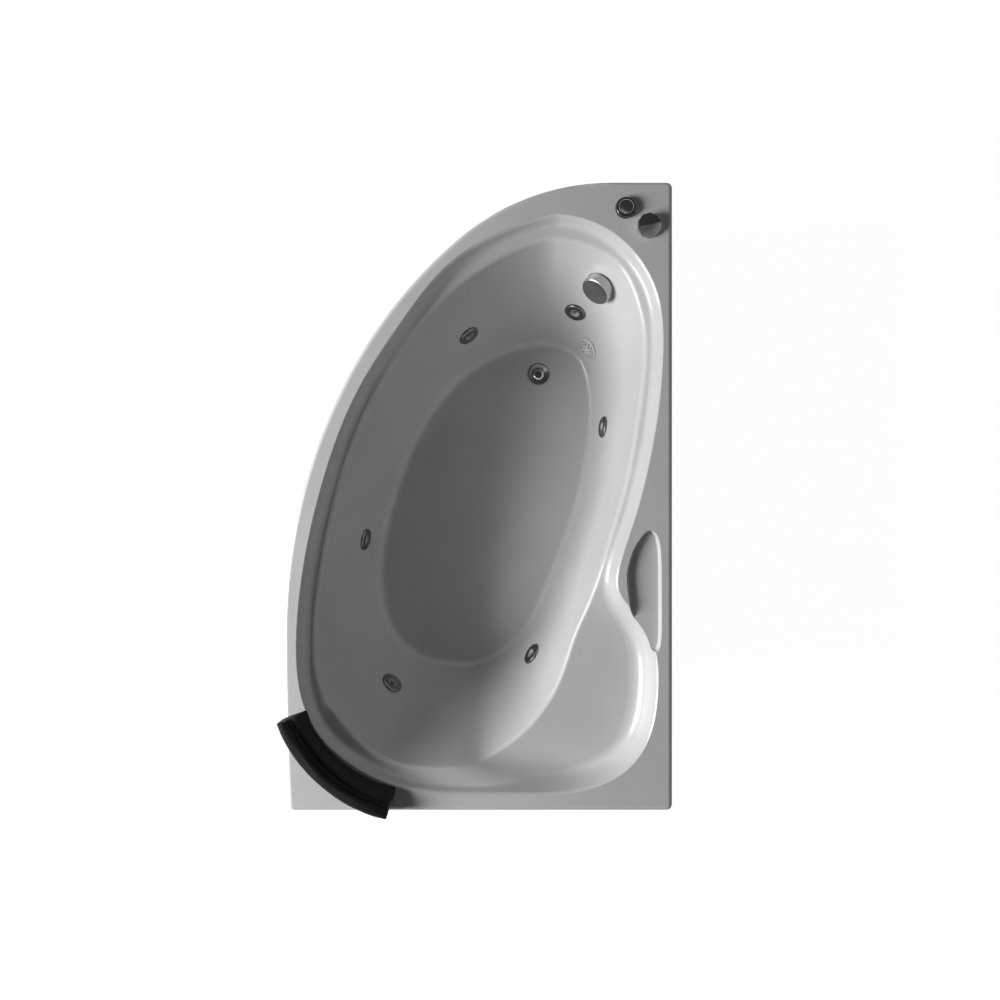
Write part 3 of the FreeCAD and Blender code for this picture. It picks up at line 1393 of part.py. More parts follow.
node("pump_button", turned("pump_button", (
    ("0", "-control_tail_length / 2"),
    ("button_stem_radius", "-control_tail_length / 2"),
    ("button_stem_radius", "button_seat"),
    ("button_radius", "button_seat"),
    ("button_radius", "button_bezel_height + button_rise / 2"),
    ("button_radius - button_rise / 2", "button_bezel_height + button_rise"),
    ("button_radius / 2", "button_bezel_height + button_rise - button_dish * 0.75"),
    ("0", "button_bezel_height + button_rise - button_dish"),
), button_place))


def ring_nut(label, place, radius):
    disc = cylinder(label + "_disc", place, f"{radius} + ring_nut_width", "ring_nut_thick")
    return cut(label, disc, [cylinder(label + "_thread", place, f"{radius} + push_fit", "ring_nut_thick")])


under_deck = -size.shell_wall - size.ring_nut_thick
group("ring_nuts", [
    ring_nut("air_control_nut", along(air_place, under_deck), "control_hole_radius"),
    ring_nut("button_nut", along(button_place, under_deck), "control_hole_radius"),
    ring_nut("suction_nut", along(suction_place, -wall_and_boss - size.gasket_thick - size.ring_nut_thick),
             "suction_barrel_radius"),
])


# Pump: ribbed motor with stator, shaft and bearings, a volute with its impeller, and a terminal box on top.
def motor_outline():
    steps = [("0", "0"), ("motor_radius", "0")]
    for rib in range(1, int(size.motor_length // size.rib_pitch)):
        low, high = f"{rib} * rib_pitch", f"{rib} * rib_pitch + rib_pitch / 2"
        steps += [("motor_radius", low), ("motor_radius - rib_depth", low)]
        steps += [("motor_radius - rib_depth", high), ("motor_radius", high)]
    front_seat = "motor_length - bearing_lip"
    return steps + [
        ("motor_radius", "motor_length"),
        ("shaft_radius + shaft_clear", "motor_length"),
        ("shaft_radius + shaft_clear", front_seat),
        ("bearing_radius + push_fit", front_seat),
        ("bearing_radius + push_fit", "motor_length - motor_end_thick"),
        ("motor_radius - rib_depth - motor_wall", "motor_length - motor_end_thick"),
        ("motor_radius - rib_depth - motor_wall", "motor_end_thick"),
        ("bearing_radius + push_fit", "motor_end_thick"),
        ("bearing_radius + push_fit", "bearing_lip"),
        ("0", "bearing_lip"),
    ]


node("pump_motor_housing", turned("pump_motor_housing", motor_outline(), pump_place))
stator_start = along(pump_place, value("motor_length / 2 - stator_length / 2"))
stator_disc = cylinder("stator_disc", stator_start, "stator_radius", "stator_length")
stator_hole = cylinder("stator_hole", stator_start, "stator_radius - stator_thick", "stator_length")
node("pump_stator", cut("pump_stator", stator_disc, [stator_hole]))
node("pump_shaft", turned("pump_shaft", (
    ("0", "shaft_start"),
    ("shaft_radius", "shaft_start"),
    ("shaft_radius", "motor_length / 2 - stator_length / 2"),
    ("stator_radius - stator_thick - air_gap", "motor_length / 2 - stator_length / 2"),
    ("stator_radius - stator_thick - air_gap", "motor_length / 2 + stator_length / 2"),
    ("shaft_radius", "motor_length / 2 + stator_length / 2"),
    ("shaft_radius", "motor_length + volute_length / 2 + impeller_width / 2"),
    ("0", "motor_length + volute_length / 2 + impeller_width / 2"),
), pump_place))


def bearing(label, start):
    place = along(pump_place, start)
    disc = cylinder(label + "_disc", place, "bearing_radius", "bearing_width")
    return cut(label, disc, [cylinder(label + "_hole", place, "shaft_radius + shaft_fit", "bearing_width")])


group("pump_bearings", [
    bearing("rear_bearing", size.bearing_lip),
    bearing("front_bearing", value("motor_length - bearing_lip - bearing_width")),
])


def pump_volute():
    cup = turned("volute_cup", (
        ("shaft_radius + shaft_clear", "motor_length"),
        ("volute_radius", "motor_length"),
        ("volute_radius", "motor_length + volute_length"),
        ("volute_radius - volute_wall", "motor_length + volute_length"),
        ("volute_radius - volute_wall", "motor_length + volute_wall"),
        ("shaft_radius + shaft_clear", "motor_length + volute_wall"),
    ), pump_place)
    start = along(outlet_place, size.volute_radius - size.volute_wall)
    stub = cylinder("volute_outlet", start, "main_stub_radius", "outlet_reach - volute_radius + volute_wall")
    bore = cylinder("volute_bore", along(outlet_place, size.volute_radius / 2),
                    "main_stub_radius - main_stub_wall", "outlet_reach")
    return cut("pump_volute", united("volute_outside", [cup, stub]), [bore])


node("pump_volute", pump_volute())
node("pump_volute_cover", turned("pump_volute_cover", (
    ("main_stub_radius - main_stub_wall", "motor_length + volute_length"),
    ("volute_radius", "motor_length + volute_length"),
    ("volute_radius", "motor_length + volute_length + cover_thick"),
    ("main_stub_radius", "motor_length + volute_length + cover_thick"),
    ("main_stub_radius", "motor_length + volute_length + cover_thick + inlet_length"),
    ("main_stub_radius - main_stub_wall", "motor_length + volute_length + cover_thick + inlet_length"),
), pump_place))


def pump_impeller():
    start = along(pump_place, value("motor_length + volute_length / 2 - impeller_width / 2"))
    hub = cylinder("impeller_hub", start, "2 * shaft_radius", "impeller_width")
    disc = cylinder("impeller_disc", start, "impeller_radius", "impeller_disc")
    vanes = []
    for turn in range(IMPELLER_VANES):
        spin = start.multiply(Placement(Vector(), Rotation(UP, 360 * turn / IMPELLER_VANES)))
        midway = ALONG_X * value("impeller_radius / 2 + shaft_radius / 2")
        out = spin.multiply(Placement(midway, Rotation()))
        vanes.append(block("impeller_vane", out, "impeller_radius - shaft_radius - 2 * vane_thick",
                           "vane_thick", "impeller_width"))
    hole = cylinder("impeller_hole", start, "shaft_radius + push_fit", "impeller_width")
    return cut("pump_impeller", united("impeller_outside", [hub, disc, *vanes]), [hole])


node("pump_impeller", pump_impeller())


def saddle(label, level, length, width, height):
    """A block along the motor that follows the motor's round."""
    middle = pump_place.multVec(UP * (size.motor_length / 2))
    piece = block(label + "_block", at(Vector(middle.x, middle.y, level), UP, ALONG_X), width, length, height)
    return piece, cylinder(label + "_round", pump_place, "motor_radius + push_fit", "motor_length")


tray_top = value("pump_foot_height + tray_thick")
foot_block, foot_round = saddle("motor_foot", tray_top, "motor_foot_length", "motor_foot_width",
                                "motor_axis_height")
motor_foot = cut("motor_foot", foot_block, [foot_round])


def terminal_box():
    lid_level = pump_axis_level + size.motor_radius - size.terminal_sink
    piece, hollow = saddle("terminal", lid_level, "terminal_length", "terminal_width", "terminal_height")
    middle = pump_place.multVec(UP * (size.motor_length / 2))
    top = at(Vector(middle.x, middle.y, lid_level + size.terminal_height))
    end = Vector(middle.x, middle.y - size.terminal_length / 2, lid_level + size.terminal_height / 2)
    gland = cylinder("cable_gland", at(end, ALONG_Y * -1), "gland_radius", "gland_length")
    bore = cylinder("gland_bore", at(end, ALONG_Y * -1), "gland_radius / 2", "gland_length")
    nipple_place = at(top.Base + ALONG_X * (size.terminal_width / 3))
    nipple = cylinder("terminal_nipple", nipple_place, "button_nipple_radius", "control_stub_length")
    made = cut("terminal_box", united("terminal_outside", [piece, gland, nipple]), [hollow, bore])
    return made, along(nipple_place, size.control_stub_length).Base


terminal, terminal_tip = terminal_box()
node("terminal_box", terminal)


def pump_tray():
    foot_spot = pump_place.multVec(UP * (size.motor_length / 2))
    right = foot_spot.x + size.motor_foot_width / 2 + size.tray_margin
    middle = Vector((tray_left + right) / 2, foot_spot.y, size.pump_foot_height)
    long_side = value("motor_foot_length + 2 * tray_margin")
    plate = block("tray_plate", at(middle), right - tray_left, long_side, "tray_thick")
    flange_spot = Vector(tray_left + size.tray_thick / 2, CROSS_RAIL_SHARES[0] * half_length, middle.z)
    flange = block("tray_flange", at(flange_spot), "tray_thick", "bracket_width",
                   long_rail_level - size.pump_foot_height)
    feet = []
    for across in (-1, 1):
        for down_tub in (-1, 1):
            spot = Vector(middle.x + across * (right - tray_left - 2 * size.tray_margin) / 2,
                          middle.y + down_tub * (long_side - 2 * size.tray_margin) / 2, 0)
            foot_label = f"pump_foot_{len(feet) + 1}"
            feet.append(cylinder(foot_label, at(spot), "pump_foot_radius", "pump_foot_height"))
    node("pump_tray", united("pump_tray", [plate, flange, motor_foot]))
    group("pump_feet", feet)


pump_tray()


# Main pipes: pump outlet to the water tee, suction fitting to the pump inlet, and all the clips.
outlet_tip = along(outlet_place, size.outlet_reach).Base
inlet_tip = along(pump_place, value("motor_length + volute_length + cover_thick + inlet_length")).Base
outlet_pipe = clipped_pipe(
    "outlet_pipe", (outlet_tip, UP), (along(water_tee_place, size.tee_reach).Base, UP * -1),
    "main_stub_radius", "main_pipe_wall",
)
suction_pipe = clipped_pipe(
    "suction_pipe", (along(suction_place, -size.suction_barrel_length).Base, axis_of(suction_place) * -1),
    (inlet_tip, ALONG_Y), "main_stub_radius", "main_pipe_wall", SUCTION_LEAD_SHARES,
)
group("main_pipes", [outlet_pipe, suction_pipe])
group("pipe_clips", clips)

# Thin air tube from the pump button to the terminal box.
TUBE_TURN_SHARES = ((*BUTTON_SHARES, 0.78), (0.935, 0.875, 0.73), (0.935, -0.40, 0.73))
button_tip = along(button_place, -value("control_tail_length + control_stub_length")).Base
tube_points = [button_tip + UP * size.pipe_grip]
for across, down_tub, rise in TUBE_TURN_SHARES:
    tube_points.append(share_spot((across, down_tub), rise * deck_level))
tube_points += [terminal_tip + UP * size.terminal_length, terminal_tip - UP * size.pipe_grip]
node("button_tube", fixed("button_tube", pipe(
    tube_points,
    value("button_nipple_radius + push_fit"),
    value("button_tube_radius - button_nipple_radius - push_fit"),
)))


# Headrest: a moulded two-tier pillow on the rim's near corner, held by two suction cups.
PILLOW_OUTER_SHARES = ((-0.995, -0.709), (-0.796, -0.889), (-0.466, -0.996))
PILLOW_INNER_SHARES = ((-0.863, -0.679), (-0.687, -0.831), (-0.422, -0.911))
PILLOW_SECTION_SHARES = ((0, 0.93), (0.08, 0.99), (0.3, 1), (0.5, 1), (0.7, 1), (0.92, 0.99), (1, 0.93))
PILLOW_BACK_SHARES = (
    (0.01, 0.28), (0.01, 0.74), (0.04, 0.93), (0.11, 0.99), (0.23, 1.0), (0.36, 0.96), (0.42, 0.82),
    (0.46, 0.64),
)
PILLOW_FRONT_SHARES = ((0.51, 1.01), (0.60, 1.08), (0.74, 0.92), (0.88, 0.66), (0.97, 0.40), (0.99, 0.20))
CUP_SHARES = (0.25, 0.75)


def pillow_arc(shares):
    return Part.Arc(*[share_spot(spot, deck_level) for spot in shares])


def arc_spot(arc, share):
    return arc.value(arc.FirstParameter + share * (arc.LastParameter - arc.FirstParameter))


outer_arc, inner_arc = pillow_arc(PILLOW_OUTER_SHARES), pillow_arc(PILLOW_INNER_SHARES)


def pillow_section(share, fullness):
    back, front = arc_spot(outer_arc, share), arc_spot(inner_arc, share)
    across = front - back
    points = [back + across * 0.04]
    for spot, rise in PILLOW_BACK_SHARES:
        points.append(back + across * spot + UP * (rise * fullness * size.pillow_back_height))
    for spot, rise in PILLOW_FRONT_SHARES:
        points.append(back + across * spot + UP * (rise * fullness * size.pillow_front_height))
    points.append(back + across * 0.96)
    top = Part.BSplineCurve()
    top.interpolate(Points=points)
    return Part.Wire([top.toShape(), Part.LineSegment(points[-1], points[0]).toShape()])


def headrest_pillow():
    pillow = Part.makeLoft([pillow_section(*section) for section in PILLOW_SECTION_SHARES], True, False)
    pockets = []
    for place in cup_places:
        pockets.append(reach(place, size.cup_radius + size.safe_gap, 0, size.cup_thick + size.safe_gap))
        stem_radius = size.cup_stem_radius + size.push_fit
        pockets.append(reach(place, stem_radius, 0, size.cup_thick + size.cup_stem_height))
    return pillow.cut(pockets)


cup_places = [at((arc_spot(outer_arc, share) + arc_spot(inner_arc, share)) * 0.5) for share in CUP_SHARES]
node("headrest_pillow", fixed("headrest_pillow", headrest_pillow()))
cups = []
for number, place in enumerate(cup_places, start=1):
    cups.append(turned(f"pillow_cup_{number}", (
        ("0", "0"),
        ("cup_radius", "0"),
        ("cup_radius", "cup_thick / 3"),
        ("cup_stem_radius", "cup_thick"),
        ("cup_stem_radius", "cup_thick + cup_stem_height"),
        ("0", "cup_thick + cup_stem_height"),
    ), place))
group("pillow_cups", cups)


# Check every object, then write one file for each named sub-part.
doc.recompute()
for made in doc.Objects:
    if "Invalid" in made.State or "Error" in made.State:
        raise RuntimeError(f"{made.Label} does not compute: {made.State}")
for made in nodes:
    if made.Shape.isNull() or not made.Shape.isValid() or not made.Shape.Solids:
        raise RuntimeError(f"{made.Label} is not a sound solid")
os.makedirs("parts", exist_ok=True)
for made in nodes:
    made.Shape.exportStep(f"parts/{made.Label}.step")
print(len(nodes), "sub-parts written")
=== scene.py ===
import json
import math

import bmesh
import bpy
from mathutils import Matrix, Vector


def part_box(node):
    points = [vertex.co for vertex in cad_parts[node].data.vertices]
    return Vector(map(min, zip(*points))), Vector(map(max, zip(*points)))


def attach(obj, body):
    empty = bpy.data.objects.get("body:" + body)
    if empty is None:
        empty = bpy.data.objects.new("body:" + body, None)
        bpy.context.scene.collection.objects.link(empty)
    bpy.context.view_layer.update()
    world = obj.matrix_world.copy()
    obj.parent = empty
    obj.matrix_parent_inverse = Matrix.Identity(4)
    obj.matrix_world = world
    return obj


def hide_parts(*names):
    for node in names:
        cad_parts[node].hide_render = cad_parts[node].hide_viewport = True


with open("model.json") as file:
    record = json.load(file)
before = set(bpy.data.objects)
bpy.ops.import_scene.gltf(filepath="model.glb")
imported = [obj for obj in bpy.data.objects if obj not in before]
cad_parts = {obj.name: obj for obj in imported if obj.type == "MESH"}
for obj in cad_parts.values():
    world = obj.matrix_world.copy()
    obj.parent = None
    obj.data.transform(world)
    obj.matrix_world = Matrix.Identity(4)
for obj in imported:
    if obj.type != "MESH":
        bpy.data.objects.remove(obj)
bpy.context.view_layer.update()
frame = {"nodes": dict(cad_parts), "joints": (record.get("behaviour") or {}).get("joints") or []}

nodes = frame["nodes"]


# Tub shell: one sheet of white acrylic, heated and drawn over a mould, so that rim, ledge, shelf
# and basin run into each other without a seam. The face is polished; underneath, a layer of
# resin with chopped glass strands is sprayed on to stiffen it.
RIM_LEVEL = 0.6
ACRYLIC_PALE = (0.64, 0.645, 0.64, 1)
ACRYLIC_DEEP = (0.60, 0.605, 0.605, 1)
ACRYLIC_CLOUDS = 5
ACRYLIC_SMEARS = 14
ACRYLIC_SHEEN = (0.21, 0.29)
RESIN_PALE = (0.66, 0.63, 0.52, 1)
RESIN_DEEP = (0.46, 0.43, 0.33, 1)
RESIN_SHEEN = 0.62
STRAND_SHAPE = (60, 300, 140)
STRAND_DETAIL = 6
STRAND_DEPTH = 0.0012
UNDERSIDE_TILT = -0.06


def new_finish(name):
    """An empty finish: its material, node tree, shader and the piece's own coordinates."""
    material = bpy.data.materials.new(name)
    material.use_nodes = True
    tree = material.node_tree
    where = tree.nodes.new("ShaderNodeTexCoord").outputs["Object"]
    return material, tree, tree.nodes["Principled BSDF"], where


def grain(tree, where, scale=1, detail=3):
    """Soft cloudy noise, about scale patches to the metre."""
    noise = tree.nodes.new("ShaderNodeTexNoise")
    noise.inputs["Scale"].default_value = scale
    noise.inputs["Detail"].default_value = detail
    tree.links.new(where, noise.inputs["Vector"])
    return noise.outputs["Fac"]


def stretched(tree, where, factors):
    """Coordinates squeezed by a factor on each axis, so that grain turns into streaks."""
    mapping = tree.nodes.new("ShaderNodeMapping")
    mapping.inputs["Scale"].default_value = factors
    tree.links.new(where, mapping.inputs["Vector"])
    return mapping.outputs["Vector"]


def tones(tree, value, deep, pale, start=0.3, end=0.7):
    """Two colours of one finish, blended by a value."""
    ramp = tree.nodes.new("ShaderNodeValToRGB")
    first, last = ramp.color_ramp.elements
    first.position, first.color = start, deep
    last.position, last.color = end, pale
    tree.links.new(value, ramp.inputs["Fac"])
    return ramp.outputs["Color"]


def between(tree, value, low, high):
    """A value spread between two limits."""
    spread = tree.nodes.new("ShaderNodeMapRange")
    spread.inputs["To Min"].default_value = low
    spread.inputs["To Max"].default_value = high
    tree.links.new(value, spread.inputs["Value"])
    return spread.outputs["Result"]


def combined(tree, how, one, other):
    """Two values worked into one."""
    node = tree.nodes.new("ShaderNodeMath")
    node.operation = how
    tree.links.new(one, node.inputs[0])
    tree.links.new(other, node.inputs[1])
    return node.outputs["Value"]


def mixed(tree, share, one, other):
    """One colour giving way to another."""
    mix = tree.nodes.new("ShaderNodeMix")
    mix.data_type = "RGBA"
    tree.links.new(share, mix.inputs["Factor"])
    tree.links.new(one, mix.inputs["A"])
    tree.links.new(other, mix.inputs["B"])
    return mix.outputs["Result"]


def relief(tree, value, depth):
    """A bump of that depth in metres."""
    bump = tree.nodes.new("ShaderNodeBump")
    bump.inputs["Distance"].default_value = depth
    tree.links.new(value, bump.inputs["Height"])
    return bump.outputs["Normal"]


def dressed(tree, shader, colour, sheen, bumps=None):
    """Gives the shader its colour, its roughness and, where there are any, its bumps."""
    tree.links.new(colour, shader.inputs["Base Color"])
    tree.links.new(sheen, shader.inputs["Roughness"])
    if bumps is not None:
        tree.links.new(bumps, shader.inputs["Normal"])


def coat(material, *names):
    """Puts a finish on pieces that keep their solid shape."""
    for name in names:
        for slot in nodes[name].material_slots:
            slot.material = material


def acrylic():
    """White and glossy on the moulded face, matt strands of resin wherever the sheet looks down."""
    material, tree, shader, where = new_finish("white_acrylic")
    facing = tree.nodes.new("ShaderNodeNewGeometry").outputs["Normal"]
    tilt = tree.nodes.new("ShaderNodeSeparateXYZ")
    tree.links.new(facing, tilt.inputs["Vector"])
    under = tree.nodes.new("ShaderNodeMath")
    under.operation = "LESS_THAN"
    under.inputs[1].default_value = UNDERSIDE_TILT
    tree.links.new(tilt.outputs["Z"], under.inputs[0])
    underside = under.outputs["Value"]
    face = tones(tree, grain(tree, where, ACRYLIC_CLOUDS), ACRYLIC_DEEP, ACRYLIC_PALE)
    strands = grain(tree, stretched(tree, where, STRAND_SHAPE), detail=STRAND_DETAIL)
    back = tones(tree, strands, RESIN_DEEP, RESIN_PALE)
    gloss = between(tree, grain(tree, where, ACRYLIC_SMEARS), *ACRYLIC_SHEEN)
    matt = between(tree, underside, 0, RESIN_SHEEN)
    lumps = combined(tree, "MULTIPLY", strands, underside)
    dressed(
        tree, shader,
        colour=mixed(tree, underside, face, back),
        sheen=combined(tree, "MAXIMUM", gloss, matt),
        bumps=relief(tree, lumps, STRAND_DEPTH),
    )
    return material


white_acrylic = acrylic()
coat(white_acrylic, "tub_shell")


# Front apron: the same white acrylic, bent to the curved side and tucked up inside the rim's lip.
# It is screwed to the steel brackets behind it.
coat(white_acrylic, "front_apron")


# Base board: a chipboard panel pressed into the wet resin under the basin floor, so that feet and
# frame have something to be screwed to. Pale and dark chips show on its faces and its edge.
CHIP_PALE = (0.60, 0.44, 0.26, 1)
CHIP_DEEP = (0.27, 0.17, 0.085, 1)
CHIP_SHAPE = (150, 260, 420)
CHIP_SPREAD = (0.1, 0.9)
CHIP_DEPTH = 0.0004
BOARD_CLOUDS = 90
BOARD_SHEEN = (0.6, 0.85)


def flakes(tree, where, scale=1):
    """A mosaic of cells with one random tone each."""
    cells = tree.nodes.new("ShaderNodeTexVoronoi")
    cells.inputs["Scale"].default_value = scale
    tree.links.new(where, cells.inputs["Vector"])
    return cells.outputs["Color"]


def chipboard():
    """Flat chips, each in its own tone and a little proud or sunk."""
    material, tree, shader, where = new_finish("chipboard")
    chips = flakes(tree, stretched(tree, where, CHIP_SHAPE))
    dressed(
        tree, shader,
        colour=tones(tree, chips, CHIP_DEEP, CHIP_PALE, *CHIP_SPREAD),
        sheen=between(tree, grain(tree, where, BOARD_CLOUDS), *BOARD_SHEEN),
        bumps=relief(tree, chips, CHIP_DEPTH),
    )
    return material


coat(chipboard(), "base_board")


# Steel frame: square tube rails and posts under the board and the rim, powder coated light grey.
# The apron's brackets are bent from the same steel and left with their zinc.
POWDER_PALE = (0.50, 0.51, 0.52, 1)
POWDER_DEEP = (0.42, 0.43, 0.44, 1)
POWDER_CLOUDS = 9
POWDER_SMEARS = 60
POWDER_SHEEN = (0.38, 0.55)
POWDER_PEEL = 900
POWDER_PEEL_DEPTH = 0.00015
ZINC_PALE = (0.62, 0.63, 0.62, 1)
ZINC_DEEP = (0.42, 0.43, 0.44, 1)
ZINC_SHEEN = (0.28, 0.46)
SPANGLE_SCALE = 160
SPANGLE_SPREAD = (0.0, 1.0)


def powder_coat():
    """Baked powder paint with a fine orange peel."""
    material, tree, shader, where = new_finish("painted_steel")
    dressed(
        tree, shader,
        colour=tones(tree, grain(tree, where, POWDER_CLOUDS), POWDER_DEEP, POWDER_PALE),
        sheen=between(tree, grain(tree, where, POWDER_SMEARS), *POWDER_SHEEN),
        bumps=relief(tree, grain(tree, where, POWDER_PEEL, detail=1), POWDER_PEEL_DEPTH),
    )
    return material


def zinc():
    """Zinc with its spangle, crystals of unlike tone and sheen."""
    material, tree, shader, where = new_finish("zinc_steel")
    spangle = flakes(tree, where, SPANGLE_SCALE)
    dressed(
        tree, shader,
        colour=tones(tree, spangle, ZINC_DEEP, ZINC_PALE, *SPANGLE_SPREAD),
        sheen=between(tree, spangle, *ZINC_SHEEN),
    )
    shader.inputs["Metallic"].default_value = 1
    return material


zinc_steel = zinc()
coat(powder_coat(), "frame_rails", "corner_posts")
coat(zinc_steel, "apron_brackets")


# Levelling feet: threaded zinc studs through the rails, each held by lock nuts, on moulded
# rubber pads that stand on the floor.
RUBBER_PALE = (0.030, 0.030, 0.032, 1)
RUBBER_DEEP = (0.014, 0.014, 0.015, 1)
RUBBER_CLOUDS = 40
RUBBER_SMEARS = 120
RUBBER_SHEEN = (0.55, 0.8)
RUBBER_GRAIN = 700
RUBBER_GRAIN_DEPTH = 0.0002


def rubber():
    """Black rubber with a dull, slightly grainy skin."""
    material, tree, shader, where = new_finish("black_rubber")
    dressed(
        tree, shader,
        colour=tones(tree, grain(tree, where, RUBBER_CLOUDS), RUBBER_DEEP, RUBBER_PALE),
        sheen=between(tree, grain(tree, where, RUBBER_SMEARS), *RUBBER_SHEEN),
        bumps=relief(tree, grain(tree, where, RUBBER_GRAIN), RUBBER_GRAIN_DEPTH),
    )
    return material


black_rubber = rubber()
coat(zinc_steel, "foot_studs", "foot_nuts")
coat(black_rubber, "foot_pads")


# Jet rings: six turned brass rings with a dark satin chrome plating. Each turns on its sleeve to
# set the flow, and its spherical seat holds the eyeball nozzle.
JET_COUNT = 6
LATHE_STEPS = 72
MERGE_GAP = 1e-6
SHARP_TURN = math.radians(24)
ROUND_STEPS = 3
RING_ROUND = 0.0012
SATIN_PALE = (0.21, 0.21, 0.215, 1)
SATIN_DEEP = (0.16, 0.16, 0.165, 1)
SATIN_SHEEN = (0.30, 0.42)
PLATING_SMEARS = 35


def chrome(name, deep, pale, sheen):
    """Plated metal with faint smears in its shine."""
    material, tree, shader, where = new_finish(name)
    smears = grain(tree, where, PLATING_SMEARS)
    dressed(
        tree, shader,
        colour=tones(tree, smears, deep, pale),
        sheen=between(tree, smears, *sheen),
    )
    shader.inputs["Metallic"].default_value = 1
    return material


def axis_place(joint_name):
    """Where a joint's own axis stands: its point, with Z along the axis."""
    joint = next(joint for joint in frame["joints"] if joint["name"] == joint_name)
    turn = Vector(joint["axis"]).to_track_quat("Z", "Y")
    return Matrix.Translation(Vector(joint["pos_m"])) @ turn.to_matrix().to_4x4()


def measured(node, place):
    """Lowest height, highest height and widest radius of a solid about that axis."""
    back = place.inverted()
    spots = [back @ corner.co for corner in nodes[node].data.vertices]
    heights = [spot.z for spot in spots]
    return min(heights), max(heights), max(spot.xy.length for spot in spots)


def rounded(shape, round_off):
    """Breaks every sharp edge."""
    sharp = [edge for edge in shape.edges if edge.calc_face_angle(0) > SHARP_TURN]
    bmesh.ops.bevel(
        shape, geom=sharp, offset=round_off, segments=ROUND_STEPS, profile=0.5,
        affect="EDGES", material=-1, clamp_overlap=True,
    )


def spun(outline, whole=False):
    """A shape swept round Z from (radius, height) points; whole closes the outline to a ring."""
    shape = bmesh.new()
    corners = [shape.verts.new((radius, 0, height)) for radius, height in outline]
    ends = corners[1:] + corners[:1] if whole else corners[1:]
    sides = [shape.edges.new(pair) for pair in zip(corners, ends)]
    bmesh.ops.spin(
        shape, geom=corners + sides, cent=(0, 0, 0), axis=(0, 0, 1),
        angle=math.tau, steps=LATHE_STEPS, use_merge=True,
    )
    bmesh.ops.remove_doubles(shape, verts=shape.verts, dist=MERGE_GAP)
    bmesh.ops.recalc_face_normals(shape, faces=shape.faces)
    return shape


def turned(outline, place, round_off, whole=False):
    """A lathe-turned shape with its edges broken, set in its place."""
    shape = spun(outline, whole)
    rounded(shape, round_off)
    shape.transform(place)
    return shape


def finished(name, shape, material, body, replaced):
    """Hands a plated shape over as a smooth piece that rides on its body."""
    mesh = bpy.data.meshes.new(name)
    shape.to_mesh(mesh)
    shape.free()
    mesh.materials.append(material)
    mesh.shade_smooth()
    piece = bpy.data.objects.new(name, mesh)
    bpy.context.scene.collection.objects.link(piece)
    even = piece.modifiers.new("even_shading", "WEIGHTED_NORMAL")
    even.keep_sharp = True
    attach(piece, body)
    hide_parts(replaced)


def jet_ring_outline(bottom, face, radius):
    """Tube behind the wall, skirt, rounded shoulder, slightly sunk face, and the ball's seat."""
    return (
        (radius * 0.60, bottom),
        (radius * 0.66, bottom),
        (radius * 0.66, face * 0.34),
        (radius * 0.95, face * 0.34),
        (radius * 0.95, face * 0.04),
        (radius, face * 0.04),
        (radius, face * 0.45),
        (radius * 0.96, face * 0.78),
        (radius * 0.87, face),
        (radius * 0.70, face * 0.90),
        (radius * 0.47, face * 0.95),
        (radius * 0.42, face * 0.86),
        (radius * 0.50, face * 0.46),
        (radius * 0.57, face * -0.12),
        (radius * 0.595, face * -0.75),
    )


satin_chrome = chrome("satin_chrome", SATIN_DEEP, SATIN_PALE, SATIN_SHEEN)
for number in range(1, JET_COUNT + 1):
    ring = f"jet_ring_{number}"
    ring_place = axis_place(f"jet_{number}_flow_turn")
    ring_outline = jet_ring_outline(*measured(ring, ring_place))
    ring_shape = turned(ring_outline, ring_place, RING_ROUND, whole=True)
    finished(f"{ring}_chrome", ring_shape, satin_chrome, ring, ring)


# Jet nozzles: moulded grey eyeballs with a dished mouth. Each sits in its ring's spherical seat
# and stays free to tilt.
GREY_PALE = (0.42, 0.42, 0.415, 1)
GREY_DEEP = (0.35, 0.35, 0.345, 1)
GREY_SHEEN = (0.48, 0.62)
MOULD_CLOUDS = 25
MOULD_SMEARS = 80
MOULD_PITS = 1600
PIT_DETAIL = 2
FINE_PITS = 0.00008


def moulded(name, deep, pale, sheen, pit_depth):
    """Moulded plastic: faint clouds of colour, an uneven sheen and a fine eroded skin."""
    material, tree, shader, where = new_finish(name)
    dressed(
        tree, shader,
        colour=tones(tree, grain(tree, where, MOULD_CLOUDS), deep, pale),
        sheen=between(tree, grain(tree, where, MOULD_SMEARS), *sheen),
        bumps=relief(tree, grain(tree, where, MOULD_PITS, PIT_DETAIL), pit_depth),
    )
    return material


grey_plastic = moulded("grey_plastic", GREY_DEEP, GREY_PALE, GREY_SHEEN, FINE_PITS)
for number in range(1, JET_COUNT + 1):
    coat(grey_plastic, f"jet_nozzle_{number}")


# Behind each jet: a threaded white sleeve through the wall, a rubber gasket, and a white body with
# through pipes for water and air. The last stubs of the line are closed with push-on caps.
WHITE_PALE = (0.72, 0.72, 0.70, 1)
WHITE_DEEP = (0.62, 0.62, 0.60, 1)
WHITE_SHEEN = (0.34, 0.5)

white_plastic = moulded("white_plastic", WHITE_DEEP, WHITE_PALE, WHITE_SHEEN, FINE_PITS)
coat(white_plastic, "jet_sleeves", "jet_bodies", "pipe_tees", "stub_caps")
coat(black_rubber, "wall_gaskets")


# Pipes: bent grey plastic tube pushed over the stubs and held with zinc band clips. A water line
# and a thinner air line run from jet to jet, and two main pipes join pump, tee and suction.
PIPE_PALE = (0.44, 0.45, 0.46, 1)
PIPE_DEEP = (0.36, 0.37, 0.38, 1)
PIPE_SHEEN = (0.26, 0.42)
PIPE_PITS = 0.00005

pipe_plastic = moulded("pipe_plastic", PIPE_DEEP, PIPE_PALE, PIPE_SHEEN, PIPE_PITS)
coat(pipe_plastic, "water_pipes", "air_pipes", "main_pipes", "overflow_pipe")
coat(zinc_steel, "pipe_clips")


